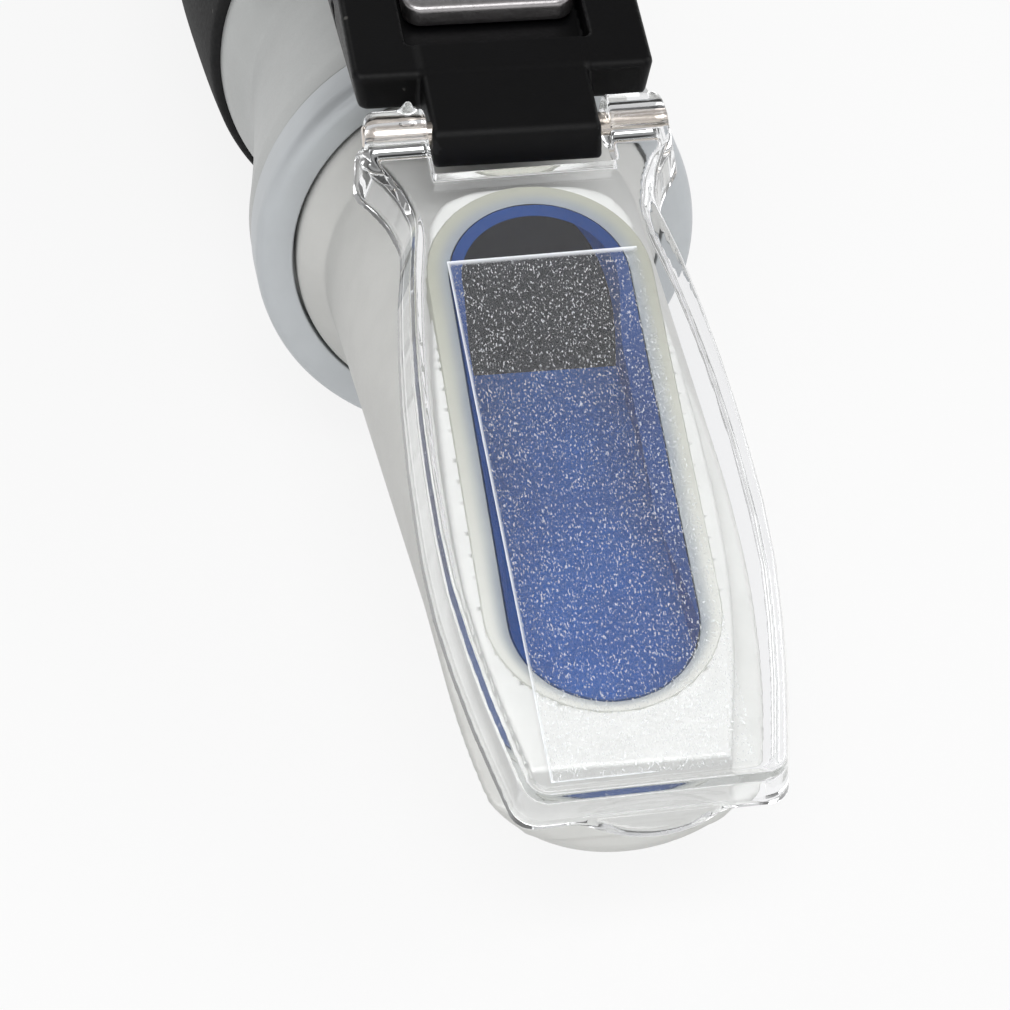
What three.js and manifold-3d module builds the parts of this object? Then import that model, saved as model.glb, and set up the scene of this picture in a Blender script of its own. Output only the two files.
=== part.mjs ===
// Handheld brix refractometer: a tapered metal prism head with a hinged clear cover plate, a collar
// with a black hinge block on top, a waisted barrel, a rubber grip and a focusing eyepiece.
// Millimetres, +Z up. The optical axis lies along Y, with the prism end at -Y and the eye at +Y.
import * as THREE from "three";
import { mergeVertices } from "three/addons/utils/BufferGeometryUtils.js";
import Module from "manifold-3d";

const wasm = await Module();
wasm.setup();

// Shared allowances
const fit = 0.25; // between neighbouring pieces
const pinFit = 0.07; // round a pin that something turns on
const cut = 1.5; // overrun of every cutting tool
const edge = 0.4; // small edge break on turned pieces

// Sides of the round pieces: a multiple of four, so that a flat side faces down
const bodySides = 40;
const innerSides = 24;
const smallSides = 12;
const arcSteps = 9;

// Prism window: a long slot with round ends, in a face that slopes down towards the front
const slope = THREE.MathUtils.degToRad(22.4);
const windowY = -23.75; // centre of the upper round end, from the collar's front face
const windowZ = 10.9; // the same centre, above the optical axis
const windowHalf = 5.95;
const windowRun = 26.2; // between the centres of the two round ends
const prismFloor = 4.5; // underside of the prism, below the optical axis
const sealWidth = 1.0;
const sealDepth = 1.4;

// Prism head
const headRoot = 11.4; // radius where the taper starts
const headMiddle = 10.15;
const headMiddleY = -40;
const headNose = 9.95; // radius at the front
const headLength = 57.6; // collar's front face to the front of the head
const noseRound = 1.2;
const bossLength = 2.6; // conical boss in front of the collar
const spigotLength = 7.5; // from the collar's front face into the barrel
const lightBore = 7.2;
const seatHalf = 8.5; // half width of the raised prism seat
const seatEnd = 7.5; // seat's rounded rear end, up the slope from the window's upper centre
const ledgeDepth = 2.3; // how far the seat's sides go down, square to the slope

// Collar and barrel
const collarRadius = 16;
const collarWidth = 3.7;
const collarBore = 13.4;
const collarRound = 1.2;
const collarLip = 1.6;
const seamGap = 0.3;
const spigotRadius = 14.2;
const barrelBore = 12;
const landRadius = 15.9;
const barrelLand = 2; // full width land behind the collar
const waistBend = 1.4; // how early the barrel thins behind the land
const waistRadius = 13.7;
const waistY = 24.3;
const flareRadius = 15.4;
const flareY = 31;
const tubeRadius = 14.4;
const barrelEnd = 84;

// Grip
const gripFront = 16.1;
const gripSwell = 17.2;
const gripSwellRun = 15; // from the front edge to the full radius
const gripRound = 0.8;
const gripGroove = 0.8; // depth and half width of each groove
const gripPitch = 5.6;
const gripGrooves = 5;
const gripPlain = 21; // plain length before the first groove

// Hinge block
const blockHalf = 10.3;
const blockFloor = 16.25; // underside of the wings above the optical axis
const blockFront = 8.75; // shoulders, in front of the collar's front face
const blockKnee = 5; // where the sloping top turns flat
const blockRear = 20.5;
const blockTop = 22.6;
const blockSlope = THREE.MathUtils.degToRad(15.4);
const blockRound = 1.5;
const blockDraft = 0.45; // how much narrower each side gets towards the wings' underside
const blockDraftRise = 2.3; // height of that drafted band
const sideHoleRadius = 1.0;
const sideHoleDepth = 1.6;
const sideHoleY = 1.8;
const sideHoleZ = 18.3;
const tongueHalf = 5.7;
const tongueReach = 15; // tongue's front, in front of the collar's front face
const tongueDepth = 2.3;
const pedestalHalf = 7.6;
const pedestalFront = 1.2;

// Cover of the calibration screw
const capHalf = 5.95;
const capFront = 2.9;
const capRear = 18.2;
const capThick = 1.5;
const capSideGap = 0.4;
const capFingerGap = 3.0;
const capCorner = 1.1;

// Calibration screw and the screws that hold the block
const adjusterY = 13;
const adjusterRadius = 1.5;
const adjusterHead = 2.3;
const adjusterHeadHeight = 1.5;
const adjusterTravel = 0.45; // up or down from rest, for one turn each way
const slotWidth = 0.6;
const slotDepth = 0.7;
const washerHeight = 0.9; // sealing ring under the screw's head
const screwRadius = 1.0;
const screwHead = 2.0;
const screwHeadHeight = 1.2;
const screwSpread = 4.2;
const screwFrontY = 6.9;
const screwRearY = 17.0;
const screwGrip = 1.7; // length of each screw inside the barrel's wall

// Cover plate, measured down the slope from its hinge pin
const pinRadius = 0.8;
const pinUp = 12; // up the slope from the window's upper centre
const pinRise = 1.25; // above the prism's face, square to it
const knuckle = 1.8;
const plateYaw = THREE.MathUtils.degToRad(1.4); // play of the hinge lets the plate lie a little askew
const plateTop = 2.45; // upper face above the prism's face
const plateUnder = 0.55; // lower face above the prism's face
const padUnder = 0.3; // frosted pad above the prism's face
const earHalf = 10.1;
const earCut = 6.1;
const earCutDepth = 4.1;
const earStraight = 2.6;
const neckHalf = 8.0;
const neckAt = 7.4;
const bellyHalf = 10.2;
const bellyAt = 32;
const tipHalf = 7.65;
const tipAt = 51;
const tipCorner = 0.8; // across the plate
const tipCornerRun = 1.3; // along the plate
const skirtWall = 0.9;
const skirtDrop = 1.9; // skirt's lower edge below the prism's face, square to it
const skirtFlare = 1.0; // how far the skirts lean out at their lower edge
const tipWall = 0.9;
const tabHalf = 4.4; // thumb tab at the lower edge of the front wall
const tabReach = 1.8;
const tabThick = 1.0;
const padHalf = 6.3;
const padRear = 10.6;
const padFront = 49.6;
const coverOpening = 140; // degrees

// Inside the barrel
const baffleBore = 5.4;
const baffleThick = 1.5;
const holderRadius = 9.0;
const holderLength = 6.5;
const lensRadius = 6.6;
const lensEdge = 1.2;
const lensBulge = 0.9;
const lensStop = 6.1;
const lensRings = 3;
const retainerLength = 1.4;
const frameBore = 7.5;
const frameLength = 5;
const stripHalf = 3;
const stripThick = 0.6;
const stripGap = 0.65;
const stripRivet = 0.8;
const stripRivetHead = 1.4;
const reticleY = 64;
const reticleRadius = 10;
const reticleThick = 1.5;
const reticleRing = 4.5;
const reticleSight = 8.8;

// Eyepiece
const focusTravel = 1.5; // each way from rest
const focusTurn = 135; // degrees each way from rest
const innerTubeFront = 72;
const innerTubeNose = 13.3;
const innerTubeBore = 10.6;
const innerTubeEnd = 96;
const cellRadius = 10.3;
const cellFront = 78;
const cellFlange = 12.6;
const cellFlangeThick = 1.4;
const eyepieceLensRadius = 9.0;
const eyepieceLensEdge = 2.2;
const eyepieceLensBulge = 2.2;
const eyepieceSpacer = 8.5;
const cellStop = 8.2;
const cellStopThick = 1.2;
const ringBore = 13.8;
const ringRadius = 16.6;
const ringKnurls = 24;
const knurlDepth = 0.5;
const ringFlute = 1.0; // radius of each flute
const ringWeb = 1.5;
const ringBoss = 14.3;
const ringBossLength = 2.0;
const cupRadius = 17.2;
const cupWaist = 15.8;
const cupEnd = 106;
const cupHollow = 12.6;
const cupFloor = 8.0;
const cupDepth = 3.6;
const sealRingWire = 0.55; // radius of the eyepiece O-ring's section
const sealRingAt = 90.5;

// Turns a closed geometry's faces outwards and gives it to the solid modeller
function solidOf(geometry) {
  const bare = geometry.clone();
  bare.deleteAttribute("normal");
  bare.deleteAttribute("uv");
  const merged = mergeVertices(bare, 1e-4);
  const corners = merged.attributes.position.array;
  const faces = [];
  let volume = 0;
  const [a, b, c] = [new THREE.Vector3(), new THREE.Vector3(), new THREE.Vector3()];
  for (let i = 0; i < merged.index.count; i += 3) {
    const [p, q, r] = merged.index.array.slice(i, i + 3);
    if (p === q || q === r || r === p) continue;
    faces.push([p, q, r]);
    a.fromArray(corners, 3 * p);
    b.fromArray(corners, 3 * q);
    c.fromArray(corners, 3 * r);
    volume += a.dot(b.cross(c));
  }
  const turned = volume < 0 ? faces.map(([p, q, r]) => [p, r, q]) : faces;
  return new wasm.Manifold(
    new wasm.Mesh({
      numProp: 3,
      vertProperties: new Float32Array(corners),
      triVerts: new Uint32Array(turned.flat()),
    }),
  );
}

function geometryOf(solid) {
  const mesh = solid.getMesh();
  const positions = new Float32Array(mesh.numVert * 3);
  for (let i = 0; i < mesh.numVert; i += 1) {
    positions.set(mesh.vertProperties.subarray(i * mesh.numProp, i * mesh.numProp + 3), i * 3);
  }
  const geometry = new THREE.BufferGeometry();
  geometry.setAttribute("position", new THREE.BufferAttribute(positions, 3));
  geometry.setIndex(new THREE.BufferAttribute(new Uint32Array(mesh.triVerts), 1));
  const flat = geometry.toNonIndexed();
  flat.computeVertexNormals();
  return flat;
}

// A ring or a solid of revolution about Y from [radius, y] pairs; it closes on itself or on the axis
function turnedGeometry(profile, sides) {
  const points = profile.map(([radius, along]) => new THREE.Vector2(radius, along));
  if (profile[0][0] > 0) points.push(points[0].clone());
  return new THREE.LatheGeometry(points, sides, Math.PI / sides);
}

const turned = (profile, sides = bodySides) => solidOf(turnedGeometry(profile, sides));

// The same about a vertical axis at a place, from [radius, z] pairs
function upright(profile, x, y, sides = smallSides) {
  const geometry = turnedGeometry(profile, sides);
  geometry.rotateX(Math.PI / 2);
  geometry.translate(x, y, 0);
  return solidOf(geometry);
}

const ring = (inner, outer, from, to, sides = bodySides) =>
  turned([[inner, from], [outer, from], [outer, to], [inner, to]], sides);

const rod = (radius, from, to, sides = bodySides) =>
  turned([[0, from], [radius, from], [radius, to], [0, to]], sides);

// A cylinder about X through a place in the Y-Z plane
function crossRod(radius, half, y, z, sides = smallSides) {
  const geometry = turnedGeometry([[0, -half], [radius, -half], [radius, half], [0, half]], sides);
  geometry.rotateZ(-Math.PI / 2);
  geometry.translate(0, y, z);
  return geometry;
}

// A side profile of [y, z] pairs, or a shape drawn in those two directions, extruded across X
function acrossGeometry(outline, half) {
  const shape = outline.isShape ? outline : new THREE.Shape(outline.map(([y, z]) => new THREE.Vector2(y, z)));
  const geometry = new THREE.ExtrudeGeometry(shape, { depth: 2 * half, bevelEnabled: false, curveSegments: arcSteps });
  geometry.translate(0, 0, -half);
  const sideways = new THREE.Matrix4().makeBasis(
    new THREE.Vector3(0, 1, 0),
    new THREE.Vector3(0, 0, 1),
    new THREE.Vector3(1, 0, 0),
  );
  return geometry.applyMatrix4(sideways);
}

const across = (outline, half) => solidOf(acrossGeometry(outline, half));

// A box between two corners
function boxGeometry(low, high) {
  const size = high.map((value, i) => value - low[i]);
  const middle = high.map((value, i) => (value + low[i]) / 2);
  return new THREE.BoxGeometry(...size).translate(...middle);
}

// A shape in the X-Y plane extruded from one height to another
function risen(shape, from, to) {
  const geometry = new THREE.ExtrudeGeometry(shape, { depth: to - from, bevelEnabled: false, curveSegments: arcSteps });
  return geometry.translate(0, 0, from);
}

const united = (first, ...others) => others.reduce((whole, other) => whole.add(other), first);
const without = (first, ...others) => others.reduce((whole, other) => whole.subtract(other), first);

// The sloping frame: X across, Y up the slope, Z square to the prism's face
const slopeFrame = new THREE.Matrix4().makeRotationX(slope).setPosition(0, windowY, windowZ);
const onSlope = (geometry) => solidOf(geometry.clone().applyMatrix4(slopeFrame));

// Window outline of the prism, grown by a margin
function windowShape(margin) {
  const radius = windowHalf + margin;
  const shape = new THREE.Shape();
  shape.absarc(0, 0, radius, 0, Math.PI, false);
  shape.absarc(0, -windowRun, radius, Math.PI, 2 * Math.PI, false);
  shape.closePath();
  return shape;
}

// Prism: the long window face on top, an upright exit face towards the barrel and a level underside
const exitY = windowY + windowHalf * Math.cos(slope);
const lowEnd = windowRun + windowHalf;

function prismSolid(margin, rise) {
  const column = onSlope(risen(windowShape(margin), -prismFloor - lowEnd, rise));
  const side = [
    [exitY + margin, -prismFloor - margin],
    [exitY + margin, windowZ + lowEnd],
    [windowY - lowEnd - cut, windowZ + lowEnd],
    [windowY - lowEnd - cut, -prismFloor - margin],
  ];
  return column.intersect(across(side, windowHalf + margin + cut));
}

const sealSolid = (inner, outer, depth, rise) =>
  onSlope(risen(windowShape(outer), -depth, rise)).subtract(onSlope(risen(windowShape(inner), -depth - cut, rise + cut)));

// Seat outline from above as shares: across, of the half width; down the slope, of the window's run
const seatRear = [
  [0.3, -1],
  [0.55, -0.93],
  [0.68, -0.83],
  [0.79, -0.6],
  [0.83, -0.35],
];
const seatSides = [
  [0.84, 0],
  [0.95, 0.3],
  [1, 0.76],
  [0.93, 1.07],
  [0.75, 1.37],
  [0.6, 1.6],
];

function seatShape() {
  const right = [
    ...seatRear.map(([wide, along]) => [wide * seatHalf, -along * seatEnd]),
    ...seatSides.map(([wide, along]) => [wide * seatHalf, -along * windowRun]),
  ];
  const left = right.map(([x, y]) => [-x, y]).reverse();
  return new THREE.Shape([...right, ...left].map(([x, y]) => new THREE.Vector2(x, y)));
}

const headFlange = collarBore - fit;

function prismHead() {
  const body = turned([
    [0, -headLength],
    [headNose - noseRound, -headLength],
    [headNose - noseRound * 0.3, -headLength + noseRound * 0.3],
    [headNose, -headLength + noseRound],
    [headMiddle, headMiddleY],
    [headRoot, -bossLength],
    [headFlange, -bossLength * 0.15],
    [headFlange, collarLip],
    [barrelBore - fit, collarLip],
    [barrelBore - fit, spigotLength],
    [0, spigotLength],
  ]);
  const far = headLength + windowRun;
  const reach = collarRadius + cut;
  const seat = onSlope(risen(seatShape(), -headRoot, 0)).intersect(
    solidOf(boxGeometry([-reach, -far, 0], [reach, 0, reach])),
  );
  const ledge = sealDepth + ledgeDepth;
  const aboveSlope = onSlope(boxGeometry([-reach, -far, 0], [reach, seatEnd + pinUp / 2, far]));
  const besideSeat = onSlope(boxGeometry([-reach, -far, -ledgeDepth], [reach, 0, far])).subtract(
    onSlope(risen(seatShape(), -ledge, far)),
  );
  const bore = rod(lightBore, exitY - fit, spigotLength + cut, innerSides);
  return without(
    united(body, seat),
    aboveSlope,
    besideSeat,
    prismSolid(fit, cut),
    onSlope(risen(windowShape(sealWidth + 2 * fit), -sealDepth - fit, cut)),
    bore,
  );
}

// Barrel: a land behind the collar, a waist, a flare in front of the grip and a plain tube under it
const smooth = (share) => (1 - Math.cos(Math.PI * share)) / 2;
const easing = (share) => 1 - (1 - share) ** waistBend;

function sweep(startY, startRadius, endY, endRadius, steps, swing) {
  const points = [];
  for (let i = 0; i <= steps; i += 1) {
    const share = i / steps;
    points.push([startRadius + (endRadius - startRadius) * swing(share), startY + (endY - startY) * share]);
  }
  return points;
}

const barrelFace = collarWidth + seamGap;
const landEnd = barrelFace + barrelLand;

function barrelOutside(margin) {
  return [
    [landRadius - edge + margin, barrelFace],
    [landRadius + margin, barrelFace + edge],
    ...sweep(landEnd, landRadius + margin, waistY, waistRadius + margin, 7, easing),
    ...sweep(waistY, waistRadius + margin, flareY, flareRadius + margin, 4, smooth).slice(1),
  ];
}

const spigotFace = collarLip + fit;

function blockScrewPlaces() {
  return [screwFrontY, screwRearY].flatMap((y) => [-screwSpread, screwSpread].map((x) => [x, y]));
}

const screwEnd = Math.sqrt(waistRadius ** 2 - screwSpread ** 2) - screwGrip * 0.4;

function barrel() {
  const shell = turned([
    [barrelBore, spigotFace],
    [spigotRadius, spigotFace],
    [spigotRadius, barrelFace],
    ...barrelOutside(0),
    [tubeRadius, flareY],
    [tubeRadius, barrelEnd],
    [barrelBore, barrelEnd],
  ]);
  const holes = blockScrewPlaces().map(([x, y]) =>
    upright([[0, screwEnd - fit], [screwRadius + fit, screwEnd - fit], [screwRadius + fit, blockTop], [0, blockTop]], x, y),
  );
  const shaft = adjusterRadius + fit;
  holes.push(upright([[0, 0], [shaft, 0], [shaft, blockTop], [0, blockTop]], 0, adjusterY));
  return without(shell, ...holes);
}

function collarRing() {
  return turned([
    [collarBore, 0],
    [collarRadius - collarRound, 0],
    [collarRadius - collarRound * 0.3, collarRound * 0.3],
    [collarRadius, collarRound],
    [collarRadius, collarWidth - edge],
    [collarRadius - edge, collarWidth],
    [spigotRadius + fit, collarWidth],
    [spigotRadius + fit, collarLip],
    [collarBore, collarLip],
  ]);
}

const gripStart = flareY + fit;

function gripSleeve() {
  const grooves = [];
  for (let i = 0; i < gripGrooves; i += 1) {
    const at = gripStart + gripPlain + i * gripPitch;
    grooves.push([gripSwell, at - gripGroove], [gripSwell - gripGroove, at], [gripSwell, at + gripGroove]);
  }
  return turned([
    [tubeRadius + fit, gripStart],
    [gripFront - gripRound, gripStart],
    [gripFront - gripRound * 0.3, gripStart + gripRound * 0.3],
    ...sweep(gripStart + gripRound, gripFront, gripStart + gripSwellRun, gripSwell, 3, easing),
    ...grooves,
    [gripSwell, barrelEnd - edge],
    [gripSwell - edge, barrelEnd],
    [tubeRadius + fit, barrelEnd],
  ]);
}

// Hinge block: sloping top, wings that overhang the collar, a tongue for the pin, a pedestal on the barrel
const blockRise = Math.tan(blockSlope);
const topAt = (y) => blockTop - Math.max(0, blockKnee - y) * blockRise;
const pinY = windowY + pinUp * Math.cos(slope) - pinRise * Math.sin(slope);
const pinZ = windowZ + pinUp * Math.sin(slope) + pinRise * Math.cos(slope);
const capFloor = capThick + fit;

// A band that follows the block's top between two depths and two places along Y
function topBand(fromY, toY, upper, lower, half) {
  return across(
    [
      [fromY, topAt(fromY) - lower],
      [blockKnee, blockTop - lower],
      [toY, blockTop - lower],
      [toY, blockTop - upper],
      [blockKnee, blockTop - upper],
      [fromY, topAt(fromY) - upper],
    ],
    half,
  );
}

function hingeBlock() {
  const plate = across(
    [
      [-blockFront, blockFloor],
      [blockRear, blockFloor],
      [blockRear, blockTop - blockRound],
      [blockRear - blockRound * 0.3, blockTop - blockRound * 0.3],
      [blockRear - blockRound, blockTop],
      [blockKnee, blockTop],
      [-blockFront, topAt(-blockFront)],
    ],
    blockHalf,
  );
  const lean = tongueDepth * blockRise;
  const tongue = across(
    [
      [-tongueReach, topAt(-tongueReach + lean) - tongueDepth],
      [-blockFront + cut, topAt(-tongueReach + lean) - tongueDepth],
      [-blockFront + cut, topAt(-blockFront + cut)],
      [-tongueReach + lean, topAt(-tongueReach + lean)],
    ],
    tongueHalf,
  );
  const pedestal = across(
    [
      [pedestalFront, waistRadius - screwGrip],
      [blockRear - blockRound, waistRadius - screwGrip],
      [blockRear - blockRound, blockFloor + fit],
      [pedestalFront, blockFloor + fit],
    ],
    pedestalHalf,
  );
  const saddle = turned([
    [0, -blockFront],
    [collarRadius + fit, -blockFront],
    [collarRadius + fit, barrelFace],
    ...barrelOutside(fit),
    [flareRadius, flareY + cut],
    [0, flareY + cut],
  ]);
  const recess = topBand(-capFront - capFingerGap, capRear + fit, -cut, capFloor, capHalf + capSideGap);
  const wells = [
    well(adjusterRadius + fit, washerBase - fit, adjusterHead + 2 * fit, 0, adjusterY),
    ...blockScrewPlaces().map(([x, y]) =>
      well(screwRadius + fit, headRoof - screwHeadHeight - fit, screwHead + fit, x, y),
    ),
  ];
  const pinHole = solidOf(crossRod(pinRadius + pinFit, tongueHalf + cut, pinY, pinZ));
  const hole = crossRod(sideHoleRadius, sideHoleDepth, sideHoleY, sideHoleZ).translate(-blockHalf, 0, 0);
  const solid = united(plate.intersect(blockEnvelope()), tongue, pedestal.subtract(saddle));
  return without(solid, recess, pinHole, solidOf(hole), ...wells);
}

// The block's outline from the front: upright sides that lean in a little towards the underside
function blockEnvelope() {
  const side = [
    [blockHalf - blockDraft, blockFloor - cut],
    [blockHalf - blockDraft, blockFloor],
    [blockHalf, blockFloor + blockDraftRise],
    [blockHalf, blockTop + cut],
  ];
  const around = [...side, ...side.map(([x, z]) => [-x, z]).reverse()];
  const outline = new THREE.Shape(around.map(([x, z]) => new THREE.Vector2(x, z)));
  const upwards = new THREE.Matrix4().makeRotationX(Math.PI / 2);
  return solidOf(risen(outline, -blockRear - cut, blockRear + cut).applyMatrix4(upwards));
}

// A stepped hole down through the block for a screw with a head
function well(shank, step, head, x, y) {
  const bottom = waistRadius - cut;
  const profile = [
    [0, bottom],
    [shank, bottom],
    [shank, step],
    [head, step],
    [head, blockTop],
    [0, blockTop],
  ];
  return upright(profile, x, y);
}

// Calibration cover: a bent metal cover that follows the block's top, its front corners round
function calibrationCap() {
  const band = topBand(-capFront, capRear, 0, capThick, capHalf);
  const outline = new THREE.Shape();
  outline.moveTo(-capHalf, capRear + cut);
  outline.lineTo(-capHalf, -capFront + capCorner);
  outline.quadraticCurveTo(-capHalf, -capFront, -capHalf + capCorner, -capFront);
  outline.lineTo(capHalf - capCorner, -capFront);
  outline.quadraticCurveTo(capHalf, -capFront, capHalf, -capFront + capCorner);
  outline.lineTo(capHalf, capRear + cut);
  return band.intersect(solidOf(risen(outline, 0, blockTop + cut)));
}

// Calibration screw: slotted head over a sealing ring, its tip on the objective holder
const headRoof = blockTop - capFloor - fit;
const adjusterTop = headRoof - adjusterTravel;
const adjusterUnder = adjusterTop - adjusterHeadHeight;
const washerBase = adjusterUnder - adjusterTravel - fit - washerHeight;

function calibrationScrew() {
  const under = adjusterUnder;
  const top = adjusterTop;
  const screw = upright(
    [
      [0, holderRadius + fit],
      [adjusterRadius - edge, holderRadius + fit],
      [adjusterRadius, holderRadius + fit + edge],
      [adjusterRadius, under],
      [adjusterHead, under],
      [adjusterHead, top - edge / 2],
      [adjusterHead - edge / 2, top],
      [0, top],
    ],
    0,
    adjusterY,
    bodySides / 2,
  );
  const slot = boxGeometry(
    [-adjusterHead - cut, adjusterY - slotWidth / 2, top - slotDepth],
    [adjusterHead + cut, adjusterY + slotWidth / 2, top + cut],
  );
  return screw.subtract(solidOf(slot));
}

function calibrationRing() {
  const inner = adjusterRadius + fit;
  const outer = adjusterHead + fit / 2;
  const base = washerBase;
  const top = base + washerHeight;
  const round = washerHeight * 0.25;
  const profile = [
    [inner, base + round],
    [inner + round, base],
    [outer - round, base],
    [outer, base + round],
    [outer, top - round],
    [outer - round, top],
    [inner + round, top],
    [inner, top - round],
  ];
  return upright(profile, 0, adjusterY);
}

function blockScrew(x, y) {
  const top = headRoof;
  const whole = upright(
    [
      [0, screwEnd],
      [screwRadius, screwEnd],
      [screwRadius, top - screwHeadHeight],
      [screwHead, top - screwHeadHeight],
      [screwHead, top],
      [0, top],
    ],
    x,
    y,
  );
  const low = [x - screwHead - cut, y - slotWidth / 2, top - slotDepth];
  const high = [x + screwHead + cut, y + slotWidth / 2, top + cut];
  return whole.subtract(solidOf(boxGeometry(low, high)));
}

// Cover plate, in its own frame: origin on the pin, X along the pin, Y up the slope
const sideShares = [
  [0, 1],
  [0.22, 0.64],
  [0.55, 0.26],
  [1, 0],
];
const bellyShares = [
  [0.05, 0.05],
  [0.19, 0.35],
  [0.36, 0.6],
  [0.53, 0.79],
  [0.7, 0.91],
  [0.85, 0.97],
  [1, 1],
];
const tipShares = [
  [0.21, 0.95],
  [0.42, 0.784],
  [0.63, 0.553],
  [0.84, 0.25],
];

// Half width of the plate along it: straight ears, a neck, a belly and a narrower tip
function plateSide() {
  const ears = sideShares.map(([along, wide]) => [
    neckHalf + (earHalf - neckHalf) * wide,
    earStraight + (neckAt - earStraight) * along,
  ]);
  const belly = bellyShares.map(([along, wide]) => [
    neckHalf + (bellyHalf - neckHalf) * wide,
    neckAt + (bellyAt - neckAt) * along,
  ]);
  const tip = tipShares.map(([along, wide]) => [
    tipHalf + (bellyHalf - tipHalf) * wide,
    bellyAt + (tipAt - bellyAt) * along,
  ]);
  return [...ears, ...belly, ...tip];
}

function plateShape(inset, rear, front, corner) {
  const side = [
    [earHalf, rear],
    ...plateSide(),
    [tipHalf + tipCorner * corner * 0.3, front - tipCornerRun * corner],
    [tipHalf - tipCorner * corner * 0.7, front],
  ];
  const right = side.map(([half, down]) => [half - inset, -down]);
  const left = right.map(([x, y]) => [-x, y]).reverse();
  return new THREE.Shape([...right, ...left].map(([x, y]) => new THREE.Vector2(x, y)));
}

// Leans the walls of an upright extrusion outwards below its top face
function flared(geometry, top, bottom, lean) {
  const place = geometry.attributes.position;
  for (let i = 0; i < place.count; i += 1) {
    const share = (top - place.getZ(i)) / (top - bottom);
    const bend = 1 + (lean / bellyHalf) * share;
    place.setX(i, place.getX(i) * bend);
  }
  return geometry;
}

function coverPlate() {
  const top = plateTop - pinRise;
  const under = plateUnder - pinRise;
  const bottom = -skirtDrop - pinRise;
  const outer = solidOf(flared(risen(plateShape(0, 0, tipAt, 1), bottom, top), top, bottom, skirtFlare));
  const hollow = risen(plateShape(skirtWall, -knuckle - cut, tipAt - tipWall, 0.4), bottom - cut, under);
  const cavity = solidOf(flared(hollow, top, bottom, skirtFlare));
  const wide = earHalf + cut + skirtFlare;
  const notch = solidOf(boxGeometry([-earCut, -earCutDepth, bottom - cut], [earCut, knuckle + cut, top + cut]));
  const rearRake = across(
    [
      [cut, bottom - cut],
      [-knuckle, bottom - cut],
      [-knuckle, bottom],
      [0, -knuckle],
      [cut, -knuckle],
    ],
    wide,
  );
  const knuckles = solidOf(crossRod(knuckle, earHalf, 0, 0));
  const pad = solidOf(boxGeometry([-padHalf, -padFront, padUnder - pinRise], [padHalf, -padRear, under + fit]));
  const bore = crossRod(pinRadius + pinFit, earHalf + cut, 0, 0).rotateZ(-plateYaw);
  const body = united(without(outer, cavity, rearRake), knuckles, pad, thumbTab(bottom));
  return without(body, notch, solidOf(bore));
}

// A rounded lip on the lower edge of the plate's front wall, to lift it by
function thumbTab(bottom) {
  const shape = new THREE.Shape();
  shape.moveTo(-tabHalf, -tipAt + tipWall / 2);
  shape.lineTo(-tabHalf, -tipAt);
  shape.bezierCurveTo(-tabHalf * 0.6, -tipAt - tabReach, tabHalf * 0.6, -tipAt - tabReach, tabHalf, -tipAt);
  shape.lineTo(tabHalf, -tipAt + tipWall / 2);
  return solidOf(risen(shape, bottom, bottom + tabThick));
}

const hingePin = () => solidOf(crossRod(pinRadius, earHalf + edge / 2, pinY, pinZ));

// Inner pieces, front to back
const innerFit = barrelBore - fit;
const baffleFace = spigotLength + fit;
const holderFace = adjusterY - holderLength / 2;

function lightBaffle() {
  return turned(
    [
      [baffleBore, baffleFace],
      [innerFit, baffleFace],
      [innerFit, baffleFace + baffleThick],
      [baffleBore + baffleThick, baffleFace + baffleThick],
    ],
    innerSides,
  );
}

// A face of a lens from its middle to its clear radius, as [radius, y] pairs
function lensFace(clear, at, bulge) {
  if (bulge === 0) return [[0, at]];
  const shares = Array.from({ length: lensRings + 1 }, (unused, i) => i / lensRings);
  return shares.map((share) => [clear * share, at + bulge * (1 - share ** 2)]);
}

// A round lens with its rim between two places along Y; its faces may bulge inside the clear radius
function lens(radius, clear, front, back, frontBulge, backBulge) {
  const backFace = lensFace(clear, back, backBulge).reverse();
  return turned([...lensFace(clear, front, -frontBulge), [radius, front], [radius, back], ...backFace], innerSides);
}

const lensFront = holderFace + lensBulge + edge;

function objectiveHolder() {
  const stop = lensFront - fit;
  return turned(
    [
      [lensStop, holderFace],
      [holderRadius, holderFace],
      [holderRadius, holderFace + holderLength],
      [lensRadius + fit, holderFace + holderLength],
      [lensRadius + fit, stop],
      [lensStop, stop],
    ],
    innerSides,
  );
}

const objectiveLens = () =>
  lens(lensRadius, lensStop - fit, lensFront, lensFront + lensEdge, lensBulge, lensBulge / 2);

function objectiveRetainer() {
  const from = lensFront + lensEdge + fit;
  return ring(lensStop, lensRadius, from, from + retainerLength, innerSides);
}

const frameFace = holderFace + holderLength + 2 * fit;
const stripTop = -holderRadius - stripGap;
const stripEnd = frameFace + frameLength * 0.8;
const rivetY = frameFace + frameLength * 0.4;

function objectiveFrame() {
  const whole = ring(frameBore, innerFit, frameFace, frameFace + frameLength, innerSides);
  const groove = boxGeometry(
    [-stripHalf - fit, frameFace - cut, -innerFit - cut],
    [stripHalf + fit, stripEnd, stripTop + fit],
  );
  const hole = stripRivet + fit;
  const rivet = upright([[0, -innerFit], [hole, -innerFit], [hole, -frameBore + cut], [0, -frameBore + cut]], 0, rivetY);
  return without(whole, solidOf(groove), rivet);
}

function bimetalStrip() {
  const strip = boxGeometry(
    [-stripHalf, holderFace + edge, stripTop - stripThick],
    [stripHalf, stripEnd - fit, stripTop],
  );
  const hole = stripRivet + fit;
  const rivet = upright([[0, -barrelBore], [hole, -barrelBore], [hole, 0], [0, 0]], 0, rivetY);
  return solidOf(strip).subtract(rivet);
}

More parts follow.
